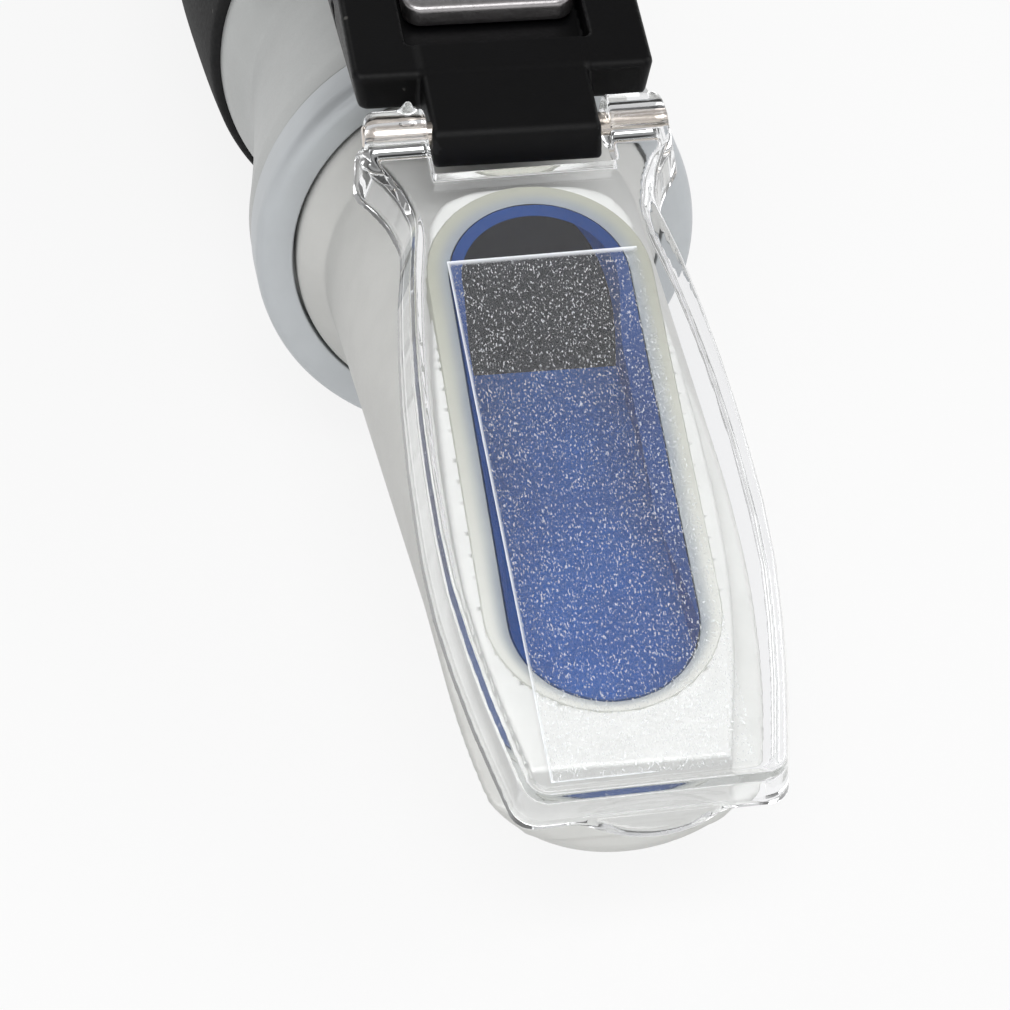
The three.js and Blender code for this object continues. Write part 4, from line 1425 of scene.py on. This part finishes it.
@dataclass
class PrismHead:
    """The tapered metal head with its sloping flat, raised prism seat and conical boss."""

    nose: float = 9.95
    middle: float = 10.15
    middle_y: float = -40.0
    root: float = 11.4
    length: float = 57.6
    nose_round: float = 1.2
    boss: float = 2.6
    flange: float = 13.15
    flange_end: float = 1.6
    spigot: float = 11.75
    spigot_end: float = 7.5
    bore: float = 7.2
    seat_half: float = 8.5
    seat_end: float = 7.5
    ledge: float = 2.3
    steepest: float = 0.97
    pocket_end: float = -18.0
    pocket_floor: float = 4.75
    groove: float = 1.36
    groove_depth: float = 1.65
    bore_end: float = -18.5
    cell: float = 0.3

    def __post_init__(self) -> None:
        """Works out the taper and the seat's outline."""
        taper = [(-self.length - 3, self.nose), (-self.length, self.nose), (self.middle_y, self.middle)]
        taper += [(-self.boss, self.root), (-0.39, self.flange), (self.flange_end + 2, self.flange)]
        self.places, self.radii = smooth_table(taper, 0.4)
        self.window = Prism()
        rear = [(0.3, -1), (0.55, -0.93), (0.68, -0.83), (0.79, -0.6), (0.83, -0.35)]
        sides = [(0.84, 0), (0.95, 0.3), (1, 0.76), (0.93, 1.07), (0.75, 1.37), (0.6, 1.6)]
        right = [(w * self.seat_half, -a * self.seat_end) for w, a in rear]
        right += [(w * self.seat_half, -a * self.window.run) for w, a in sides]
        corners = np.array(right + [(-x, v) for x, v in reversed(right)])
        self.outline = Outline(curved(corners, 8))

    def shape(self, x: Array, y: Array, z: Array) -> Array:
        """The head's field in the instrument's axes.

        Args:
            x: across.
            y: along the optical axis.
            z: above it.

        Returns:
            The field's values.
        """
        out = np.hypot(x, z)
        v, n = SLOPE.from_body(y, z)
        side = (out - np.interp(y, self.places, self.radii)) * self.steepest
        cone = both(side, -self.length - y, self.nose_round)
        cone = both(cone, y - self.flange_end, 0.1)
        whole = either(cone, both(out - self.spigot, between(y, 0.0, self.spigot_end), 0.4))
        plan = self.outline.distance(x, v)
        whole = without(whole, both(v, -self.ledge - n), 0.35)
        under = np.minimum(np.maximum(-self.ledge - 2 - n, cone + 0.1), 1.0 - z)
        seat = both(both(plan, n, 0.5), under, 0.2)
        whole = either(whole, seat, 0.45)
        whole = without(whole, both(v - 13.5, -n), 0.2)
        window = self.window
        pocket = np.maximum(stadium(x, v, window.half + 0.25, window.run), y - self.pocket_end)
        whole = without(whole, np.maximum(pocket, -self.pocket_floor - z), 0.1)
        groove = stadium(x, v, window.half + self.groove, window.run - window.seal_lift)
        whole = without(whole, both(groove, -self.groove_depth - n), 0.15)
        return without(whole, np.maximum(out - self.bore, self.bore_end - y), 0.1)

    def build(self) -> None:
        """Makes the head."""
        reach = self.flange + 0.5
        low, high = (-reach, -self.length - 0.6, -reach), (reach, self.spigot_end + 0.5, 14.6)
        head = skin(self.shape, low, high, self.cell)
        publish(Label("head", "body", "head_metal", ("prism_head",)), head, Finish.HEAD)


def curved(corners: Array, steps: int) -> Array:
    """A closed smooth curve through corners.

    Formula: the Catmull-Rom cubic of each four neighbours.

    Args:
        corners: rows of coordinates.
        steps: points in each piece.

    Returns:
        Rows of points.
    """
    t = (np.arange(steps) / steps)[None, :, None]
    p0, p1, p2, p3 = (np.roll(corners, k, axis=0)[:, None] for k in (1, 0, -1, -2))
    squared, cubed = 2 * p0 - 5 * p1 + 4 * p2 - p3, 3 * p1 - p0 - 3 * p2 + p3
    curve = 0.5 * (2 * p1 + (p2 - p0) * t + squared * t**2 + cubed * t**3)
    return curve.reshape(-1, corners.shape[1])


@dataclass
class HingeBlock:
    """The black block: sloping top, wings over the collar, a tongue for the pin and a pedestal."""

    half: float = 10.3
    floor: float = 16.25
    front: float = 8.75
    knee: float = 5.0
    rear: float = 20.5
    top: float = 22.6
    slope: float = math.radians(15.4)
    tongue_half: float = 5.7
    tongue_reach: float = 15.0
    tongue_depth: float = 2.3
    cap_half: float = 5.95
    cap_front: float = 2.5
    cap_rear: float = 18.2
    cap_thick: float = 1.5
    side_gap: float = 0.4
    finger_gap: float = 3.4
    draft: float = 0.45
    pedestal_half: float = 7.6
    steepest: float = 0.98
    well_y: float = 13.0
    well_radius: float = 2.8
    screw_rows: Row2 = (6.9, 17.0)
    screw_x: float = 4.2
    screw_well: float = 2.25
    well_floors: Row2 = (15.4, 19.0)
    pedestal_run: Row2 = (1.2, 19.0)
    pedestal_floor: float = 12.0
    recess_gap: float = 0.25
    saddle: tuple[tuple[float, ...], ...] = ((3.99, 4.0, 6.0, 24.3), (16.25, 16.15, 16.15, 13.95))
    hole_y: float = 1.8
    hole_z: float = 18.3
    cell: float = 0.27

    def top_at(self, y: Array, depth: float = 0.0) -> Array:
        """Height of the bent top, less a depth: top - depth - max(0, knee - y) tan(slope)."""
        return self.top - depth - np.maximum(0, self.knee - y) * math.tan(self.slope)

    def shape(self, x: Array, y: Array, z: Array) -> Array:
        """The block's field in the instrument's axes.

        Args:
            x: across.
            y: along the optical axis.
            z: above it.

        Returns:
            The field's values.
        """
        out, wide = np.hypot(x, z), np.abs(x)
        cover = (z - self.top_at(y)) * self.steepest
        lean = self.draft * np.clip(1 - (z - self.floor) / 2.3, 0, 1)
        plate = both(both(wide - self.half + lean, between(y, -self.front, self.rear), 0.7), cover, 0.45)
        plate = both(plate, self.floor - z, 0.3)
        lift = self.tongue_depth * math.tan(self.slope)
        bottom = self.top_at(-self.tongue_reach + lift) - self.tongue_depth
        nose = (-self.tongue_reach + (z - bottom) * math.tan(self.slope) - y) * 0.96
        tongue = both(both(wide - self.tongue_half, nose, 0.35), cover, 0.4)
        tongue = both(both(tongue, bottom - z, 0.25), y + self.front - 3.0)
        whole = either(plate, tongue, 0.35)
        pedestal = both(wide - self.pedestal_half, between(y, *self.pedestal_run), 0.5)
        pedestal = np.maximum(pedestal, between(z, self.pedestal_floor, self.floor + 0.5))
        whole = either(whole, without(pedestal, out - np.interp(y, *self.saddle), 0.1))
        under_cap = self.top_at(y, self.cap_thick + self.recess_gap) - z
        recess = both(wide - self.cap_half - self.side_gap, under_cap, 0.12)
        run = between(y, -self.cap_front - self.finger_gap, self.cap_rear + self.recess_gap)
        whole = without(whole, both(recess, run, 0.5), 0.2)
        deep, shallow = self.well_floors
        well = np.maximum(np.hypot(x, y - self.well_y) - self.well_radius, deep - z)
        whole = without(whole, well, 0.1)
        for row in self.screw_rows:
            well = np.maximum(np.hypot(wide - self.screw_x, y - row) - self.screw_well, shallow - z)
            whole = without(whole, well, 0.1)
        hole = np.maximum(np.hypot(y - self.hole_y, z - self.hole_z) - 1.0, x + self.half - 1.6)
        return without(whole, hole, 0.1)

    def build(self) -> None:
        """Makes the block."""
        low = (-self.half - 0.5, -self.tongue_reach - 1.2, 11.6)
        high = (self.half + 0.5, self.rear + 0.6, self.top + 0.5)
        label = Label("block", "body", "black_plastic", ("hinge_block",))
        publish(label, skin(self.shape, low, high, self.cell), Finish.BLOCK)


@dataclass
class CalibrationCap:
    """The bent steel cover over the calibration screw, its corners round."""

    block: HingeBlock
    corner: float = 1.3
    cell: float = 0.2

    def shape(self, x: Array, y: Array, z: Array) -> Array:
        """The cover's field: between two faces parallel to the block's top, inside a round-cornered plan.

        Args:
            x: across.
            y: along the optical axis.
            z: above it.

        Returns:
            The field's values.
        """
        b = self.block
        plan = both(np.abs(x) - b.cap_half, between(y, -b.cap_front, b.cap_rear), self.corner)
        sheet = np.maximum(z - b.top_at(y), b.top_at(y, b.cap_thick) - z) * b.steepest
        return both(plan, sheet, 0.3)

    def build(self) -> None:
        """Makes the cover."""
        b = self.block
        low = (-b.cap_half - 0.4, -b.cap_front - 0.4, b.top - 4.6)
        high = (b.cap_half + 0.4, b.cap_rear + 0.4, b.top + 0.4)
        sheet = skin(self.shape, low, high, self.cell)
        publish(Label("screw_cover", "cap", "satin_steel", ("calibration_cap",)), sheet, Finish.CAP)


@dataclass
class HingePin:
    """The steel pin through the ears and the block's tongue."""

    radius: float = 0.8
    half: float = 10.3
    dome: float = 0.35

    def build(self) -> None:
        """Makes the pin: a turned rod with domed ends, laid across."""
        corners = [(0, -self.half, 0), (self.radius, -self.half, self.dome)]
        corners += [(self.radius, self.half, self.dome), (0, self.half, 0)]
        rod = turned(rounded(corners, False), 48)
        pin_y, pin_z = COVER.to_body(np.array([0.0, 0.0, COVER.pin_rise]))[1:]

        def laid(points: Array) -> Array:
            """Rows turned from the optical axis to the pin's place across the instrument."""
            return np.stack([points[:, 1], pin_y - points[:, 0], pin_z + points[:, 2]], axis=1)

        publish(Label("pin", "body", "steel", ("hinge_pin",)), rod.moved(laid), Finish.STEEL, 40)


@dataclass(frozen=True)
class TurnedPiece:
    """A turned piece: its label, its rounded profile and its finish."""

    label: Label
    corners: tuple[Row3, ...]
    finish: Finish
    closed: bool = True
    sides: int = 180

    def build(self) -> None:
        """Makes the piece."""
        publish(self.label, turned(rounded(self.corners, self.closed), self.sides), self.finish, 32)


@dataclass
class Body:
    """The collar ring, the barrel and the grip."""

    land: float = 15.9
    land_end: float = 6.0
    waist: float = 13.7
    waist_at: float = 24.3
    flare: float = 15.4
    flare_at: float = 31.0
    tube: float = 14.4
    end: float = 84.0

    def collar(self) -> TurnedPiece:
        """The ring in front of the barrel, closed up to it."""
        corners = ((13.4, 0.0, 0.15), (16.0, 0.0, 1.3), (16.0, 3.95, 0.2))
        corners += ((14.4, 3.95, 0.0), (14.4, 1.6, 0.0), (13.4, 1.6, 0.0))
        label = Label("collar", "body", "ring_metal", ("collar_ring",))
        return TurnedPiece(label, corners, Finish.RING, sides=240)

    def barrel_profile(self) -> Array:
        """The barrel's section: a land, a waist that swings in and out again, and a tube under the grip.

        Formula: r falls as 1 - (1 - t)^1.4 from the land to the waist and grows as (1 - cos pi t) / 2 to the
        flare.

        Returns:
            Rows of radius and place.
        """
        t = np.linspace(0, 1, 24)
        fall, grow = 1 - (1 - t) ** 1.4, (1 - np.cos(math.pi * t)) / 2
        inwards = self.land + (self.waist - self.land) * fall
        outwards = self.waist + (self.flare - self.waist) * grow
        fall = np.column_stack([inwards, self.land_end + (self.waist_at - self.land_end) * t])
        grow = np.column_stack([outwards, self.waist_at + (self.flare_at - self.waist_at) * t])
        front = [(14.2, 1.85, 0), (14.2, 4.0, 0), (self.land, 4.0, 0.25), (self.land, self.land_end, 0)]
        rear = np.array([(self.tube, self.flare_at), (self.tube, self.end), (12.0, self.end), (12.0, 1.85)])
        return np.concatenate([rounded(front, False)[:-1], fall, grow[1:], rear])

    def grip_profile(self) -> Array:
        """The grip's section: a rounded front edge, a swell and five grooves.

        Returns:
            Rows of radius and place.
        """
        start = self.flare_at + 0.1
        rows = [(14.65, start, 0), (16.1, start, 0.9), (16.55, start + 5, 4.0), (17.1, start + 15, 6.0)]
        for i in range(5):
            at = start + 21.15 + i * 5.6
            rows += [(17.2, at - 0.9, 0.3), (16.4, at, 0.5), (17.2, at + 0.9, 0.3)]
        rows += [(17.2, self.end, 0.7), (14.65, self.end, 0)]
        return rounded(rows)

    def build(self) -> None:
        """Makes the three pieces."""
        self.collar().build()
        label = Label("barrel_tube", "body", "tube_metal", ("barrel",))
        publish(label, turned(self.barrel_profile(), 240), Finish.TUBE, 32)
        label = Label("grip", "body", "black_rubber", ("grip_sleeve",))
        publish(label, turned(self.grip_profile(), 240), Finish.RUBBER, 32)


@dataclass
class Eyepiece:
    """The focusing ring, the eyecup and the lenses that show from behind."""

    ring: float = 16.6
    flutes: int = 24
    flute: float = 1.0
    flute_depth: float = 0.5
    front: float = 86.0
    back: float = 99.25

    def swell(self, y: Array, angle: Array) -> Array:
        """The flutes round the focusing ring.

        Formula: minus the depth of a round groove of radius flute, sqrt(flute^2 - d^2) - (flute - depth),
        where d is the distance round the ring from the nearest flute, faded in and out along the ring.

        Args:
            y: places along the axis.
            angle: angles round it.

        Returns:
            What is added to the radius.
        """
        pitch = 2 * math.pi / self.flutes
        away = (np.mod(angle, pitch) - pitch / 2) * self.ring
        depth = np.sqrt(np.maximum(self.flute**2 - away**2, 0)) - (self.flute - self.flute_depth)
        along = np.clip((y - self.front - 1.2) / 1.0, 0, 1) * np.clip((self.back - 1.2 - y) / 1.0, 0, 1)
        return -np.maximum(depth, 0) * np.sqrt(along)

    def focus_ring(self) -> Surface:
        """The fluted ring, with rows enough along it for the flutes' ends."""
        run = self.back - self.front - 1.2
        outside = [(self.ring, self.front + 0.6 + k * run / 26, 0.0) for k in range(27)]
        rows = [(13.8, self.front, 0.2), (self.ring, self.front, 0.5), *outside, (self.ring, self.back, 0.5)]
        rows += [(14.3, self.back, 0.0), (14.3, self.back + 2, 0.2), (12.85, self.back + 2, 0.1)]
        rows += [(12.85, self.back, 0), (10.55, self.back, 0), (10.55, 97.75, 0), (13.8, 97.75, 0)]
        return turned(rounded(rows), 480, self.swell)

    def eyecup(self) -> TurnedPiece:
        """The soft rubber cup."""
        corners = ((14.55, 99.5, 0.2), (15.9, 99.5, 0.5), (16.3, 100.4, 0.5), (17.2, 101.6, 0.8))
        corners += ((17.2, 106.0, 0.9), (12.6, 106.0, 0.9), (11.8, 102.4, 0.8))
        corners += ((8.0, 102.4, 0.35), (8.0, 101.5, 0.2), (14.55, 101.5, 0.1))
        label = Label("cup", "focus_grip", "black_rubber", ("eyecup",))
        return TurnedPiece(label, corners, Finish.RUBBER, sides=200)

    def lens(self, name: str, front: float, back: float, bulges: tuple[float, float]) -> None:
        """Makes a lens with domed faces: y = rim +- bulge (1 - (r / clear)^2) inside the clear radius.

        Args:
            name: the CAD node, whose piece is named after it.
            front: where its rim starts.
            back: where its rim ends.
            bulges: heights of its front and back domes.
        """
        clear, radius = 7.95, 9.0
        share = np.linspace(0, 1, 14)
        first = np.column_stack([share * clear, front - bulges[0] * (1 - share**2)])
        last = np.column_stack([share[::-1] * clear, back + bulges[1] * (1 - share[::-1] ** 2)])
        profile = np.concatenate([first, [(radius, front), (radius, back)], last])
        label = Label(f"{name}_glass", "eyepiece_cell", "lens_glass", (name,))
        publish(label, turned(profile, 120), Finish.LENS, 25)

    def build(self) -> None:
        """Makes the eyepiece's pieces."""
        label = Label("focusing_ring", "focus_grip", "black_plastic", ("focus_ring",))
        publish(label, self.focus_ring(), Finish.BLOCK, 32)
        self.eyecup().build()
        self.lens("field_lens", 79.45, 81.65, (0.0, 2.2))
        self.lens("eye_lens", 90.65, 92.85, (2.2, 0.0))
        cell = ((8.2, 78, 0.1), (10.3, 78, 0.2), (10.3, 99.5, 0.1), (12.6, 99.5, 0.1), (12.6, 100.9, 0.3))
        cell += ((9.25, 100.9, 0.3), (9.25, 79.2, 0.0), (8.2, 79.2, 0.0))
        retainer = ((8.2, 93.1, 0.25), (9.0, 93.1, 0.05), (9.0, 94.5, 0.1), (8.2, 94.5, 0.25))
        for name, corners in (("lens_cell", cell), ("lens_retainer", retainer)):
            label = Label(f"{name}_turned", "eyepiece_cell", "black_metal", (name,))
            TurnedPiece(label, corners, Finish.BLACKENED, sides=144).build()


@dataclass
class Screws:
    """The slotted screws in the block's wells and the calibration screw between them."""

    block: HingeBlock
    roof: float = 20.6
    slot: float = 0.3
    cell: float = 0.13

    def head(self, centre: Row2, radii: Row2, heights: Row3) -> Field:
        """The field of a slotted screw with a domed head.

        Args:
            centre: its place across and along the optical axis.
            radii: the shank's and the head's.
            heights: of the shank's lower end, the head's top and the head itself.

        Returns:
            The field.
        """
        (shank, radius), (low, top, tall) = radii, heights

        def shape(x: Array, y: Array, z: Array) -> Array:
            """The screw's values: a shank and a rounded head, less the driver's slot."""
            out = np.hypot(x - centre[0], y - centre[1])
            disc = both(out - radius, between(z, top - tall, top), 0.3)
            rod = both(out - shank, between(z, low, top - 0.5), 0.2)
            groove = both(np.abs(y - centre[1]) - self.slot, top - 0.7 - z)
            return without(either(disc, rod, 0.1), groove, 0.06)

        return shape

    def build(self) -> None:
        """Makes the five screws."""
        block = self.block
        places = [(x, y) for y in block.screw_rows for x in (-block.screw_x, block.screw_x)]
        for i, (x, y) in enumerate(places):
            shape = self.head((x, y), (1.0, 2.0), (12.4, self.roof, 1.2))
            surface = skin(shape, (x - 2.3, y - 2.3, 12.1), (x + 2.3, y + 2.3, self.roof + 0.3), self.cell)
            node = f"block_screw_{i + 1}"
            publish(Label(f"{node}_turned", "body", "steel", (node,)), surface, Finish.STEEL)
        top = self.roof - 0.45
        shape = self.head((0.0, block.well_y), (1.5, 2.3), (9.3, top, 1.5))
        surface = skin(shape, (-2.6, 10.4, 9.0), (2.6, 15.6, top + 0.3), self.cell)
        publish(Label("zero_screw", "adjuster", "brass", ("calibration_screw",)), surface, Finish.BRASS)


class InnerPieces:
    """The pieces sealed inside, which keep their CAD shapes."""

    FINISHES = {
        Finish.BLACKENED: ("light_baffle", "objective_holder", "objective_retainer", "objective_frame")
        + ("reticle_ring", "eyepiece_tube", "lens_spacer"),
        Finish.LENS: ("objective_lens", "reticle"),
        Finish.BRASS: ("bimetal_strip",),
        Finish.STEEL: ("strip_screw",),
        Finish.RUBBER: ("calibration_seal", "eyepiece_o_ring"),
    }

    def build(self) -> None:
        """Dresses them."""
        for finish, nodes in self.FINISHES.items():
            for node in nodes:
                dress(node, finish)


# Studio


@dataclass(frozen=True)
class Softbox:
    """A square area lamp that points at a place, all in metres in the frame."""

    name: str
    place: Row3
    target: Row3
    size: float
    power: float

    def build(self) -> None:
        """Makes the lamp."""
        data = bpy.data.lights.new(self.name, "AREA")
        data.shape = "SQUARE"
        data.size = self.size
        data.energy = self.power
        placed(self.name, data).matrix_world = aimed(self.place, self.target)


def posed(axes: Array, place: Sequence[float]) -> Matrix:
    """The matrix of an object whose axes are the columns of a square, at a place."""
    matrix = np.eye(4)
    matrix[:3, :3], matrix[:3, 3] = axes, place
    return Matrix(matrix.tolist())


def aimed(place: Sequence[float], target: Sequence[float]) -> Matrix:
    """The matrix of a lamp at a place that looks at a target.

    Args:
        place: where it stands.
        target: what it looks at.

    Returns:
        The matrix.
    """
    back = np.array(place, float) - np.array(target, float)
    back /= np.linalg.norm(back)
    right = np.cross((0.0, 0.0, 1.0), back)
    right = right / np.linalg.norm(right) if np.linalg.norm(right) > 1e-6 else np.array([1.0, 0.0, 0.0])
    return posed(np.stack([right, np.cross(back, right), back], axis=1), place)


@dataclass
class Studio:
    """Pale floor, soft lamps, even surroundings and the photograph's camera."""

    focal: float = 132.72
    fill: float = 0.45
    through: float = 0.64
    reach: float = 3.0
    level: float = -2e-4
    glow: float = 0.86
    paper: Row2 = (0.745, 0.755)
    eye: Row3 = (-39.92, -229.535, 134.362)
    rows: tuple[Row3, ...] = (
        (0.985944, -0.165147, 0.025311),
        (0.071503, 0.554003, 0.829438),
        (-0.151002, -0.81597, 0.558025),
    )

    def camera(self) -> None:
        """Makes the camera from the view worked out from the photograph."""
        data = bpy.data.cameras.new("camera")
        data.lens = self.focal
        data.sensor_width = 36.0
        data.clip_start, data.clip_end = 0.01, 20.0
        camera = placed("camera", data)
        camera.matrix_world = posed(np.array(self.rows).T, DATUM.place(np.array(self.eye)))
        bpy.context.scene.camera = camera

    def floor(self) -> None:
        """Makes the floor: pale for what it lights, near white where it is seen, with the shadow kept."""
        mesh = bpy.data.meshes.new("floor")
        turns = ((-1, -1), (1, -1), (1, 1), (-1, 1))
        corners = [(x * self.reach, y * self.reach, self.level) for x, y in turns]
        mesh.from_pydata(corners, [], [(0, 1, 2, 3)])
        g = MaterialGraph("floor_paper")
        greys = ((level, level, level, 1.0) for level in self.paper)
        mottle = g.effect(Effect.GRAIN, Scale=900.0).outputs["Mottle"]
        g.set(Base_Color=g.tint(mottle, *greys), Roughness=0.9, Specular_IOR_Level=0.0)
        path = g.add("ShaderNodeLightPath").outputs
        seen = g.largest(path["Is Camera Ray"], path["Is Glossy Ray"], path["Is Transmission Ray"])
        g.blend(g.times(seen, self.glow), g.add("ShaderNodeEmission", {"Color": WHITE, "Strength": 1.0}))
        mesh.materials.append(g.material)
        placed("floor", mesh)

    def surroundings(self) -> None:
        """Makes the world: white to the eye and a soft fill for matt surfaces. Gloss and glass see a white
        table edge under a dimmer room."""
        world = bpy.data.worlds.new("surroundings")
        bpy.context.scene.world = world
        world.use_nodes = True
        world.node_tree.nodes.clear()
        g = Graph(world.node_tree)
        direction = g.add("ShaderNodeTexCoord").outputs["Generated"]
        height = g.add("ShaderNodeSeparateXYZ", {0: direction}).outputs["Z"]
        path = g.add("ShaderNodeLightPath").outputs
        glossy, passing = path["Is Glossy Ray"], path["Is Transmission Ray"]
        room = g.ramp(height, 0.05, 0.45, 0.95, 0.12)
        ceiling = g.ramp(height, 0.72, 0.97, 0.0, 0.2)
        mirrored = g.times(glossy, g.math("SUBTRACT", 1.0, passing))
        gloss = g.times(g.math("ADD", room, ceiling), mirrored)
        glass = g.times(g.ramp(height, 0.0, 0.5, 0.8, self.through), passing)
        matt = g.times(g.math("SUBTRACT", 1.0, g.largest(glossy, passing)), self.fill)
        level = g.math("ADD", g.math("ADD", gloss, glass), matt)
        strength = g.largest(level, path["Is Camera Ray"])
        background = g.add("ShaderNodeBackground", {"Color": WHITE, "Strength": strength})
        g.add("ShaderNodeOutputWorld", {"Surface": background.outputs[0]})

    def build(self) -> None:
        """Makes the studio."""
        bpy.context.scene.view_settings.view_transform = "Standard"
        self.camera()
        self.floor()
        self.surroundings()
        aim = (0.0, -0.03, 0.02)
        Softbox("softbox_front", (-0.1, -0.45, 0.62), aim, 0.5, 2.9).build()
        Softbox("softbox_right", (0.5, -0.05, 0.45), aim, 0.4, 1.1).build()
        Softbox("softbox_rear", (-0.2, 0.5, 0.5), aim, 0.35, 0.6).build()


def main() -> None:
    """Builds the studio and the instrument."""
    logging.basicConfig(level=logging.INFO, format="%(name)s: %(message)s")
    Studio().build()
    block = HingeBlock()
    for part in (
        CoverPlate(),
        Prism(),
        PrismHead(),
        block,
        CalibrationCap(block),
        HingePin(),
        Body(),
        Eyepiece(),
        Screws(block),
        InnerPieces(),
    ):
        part.build()


if __name__ == "__main__":
    main()
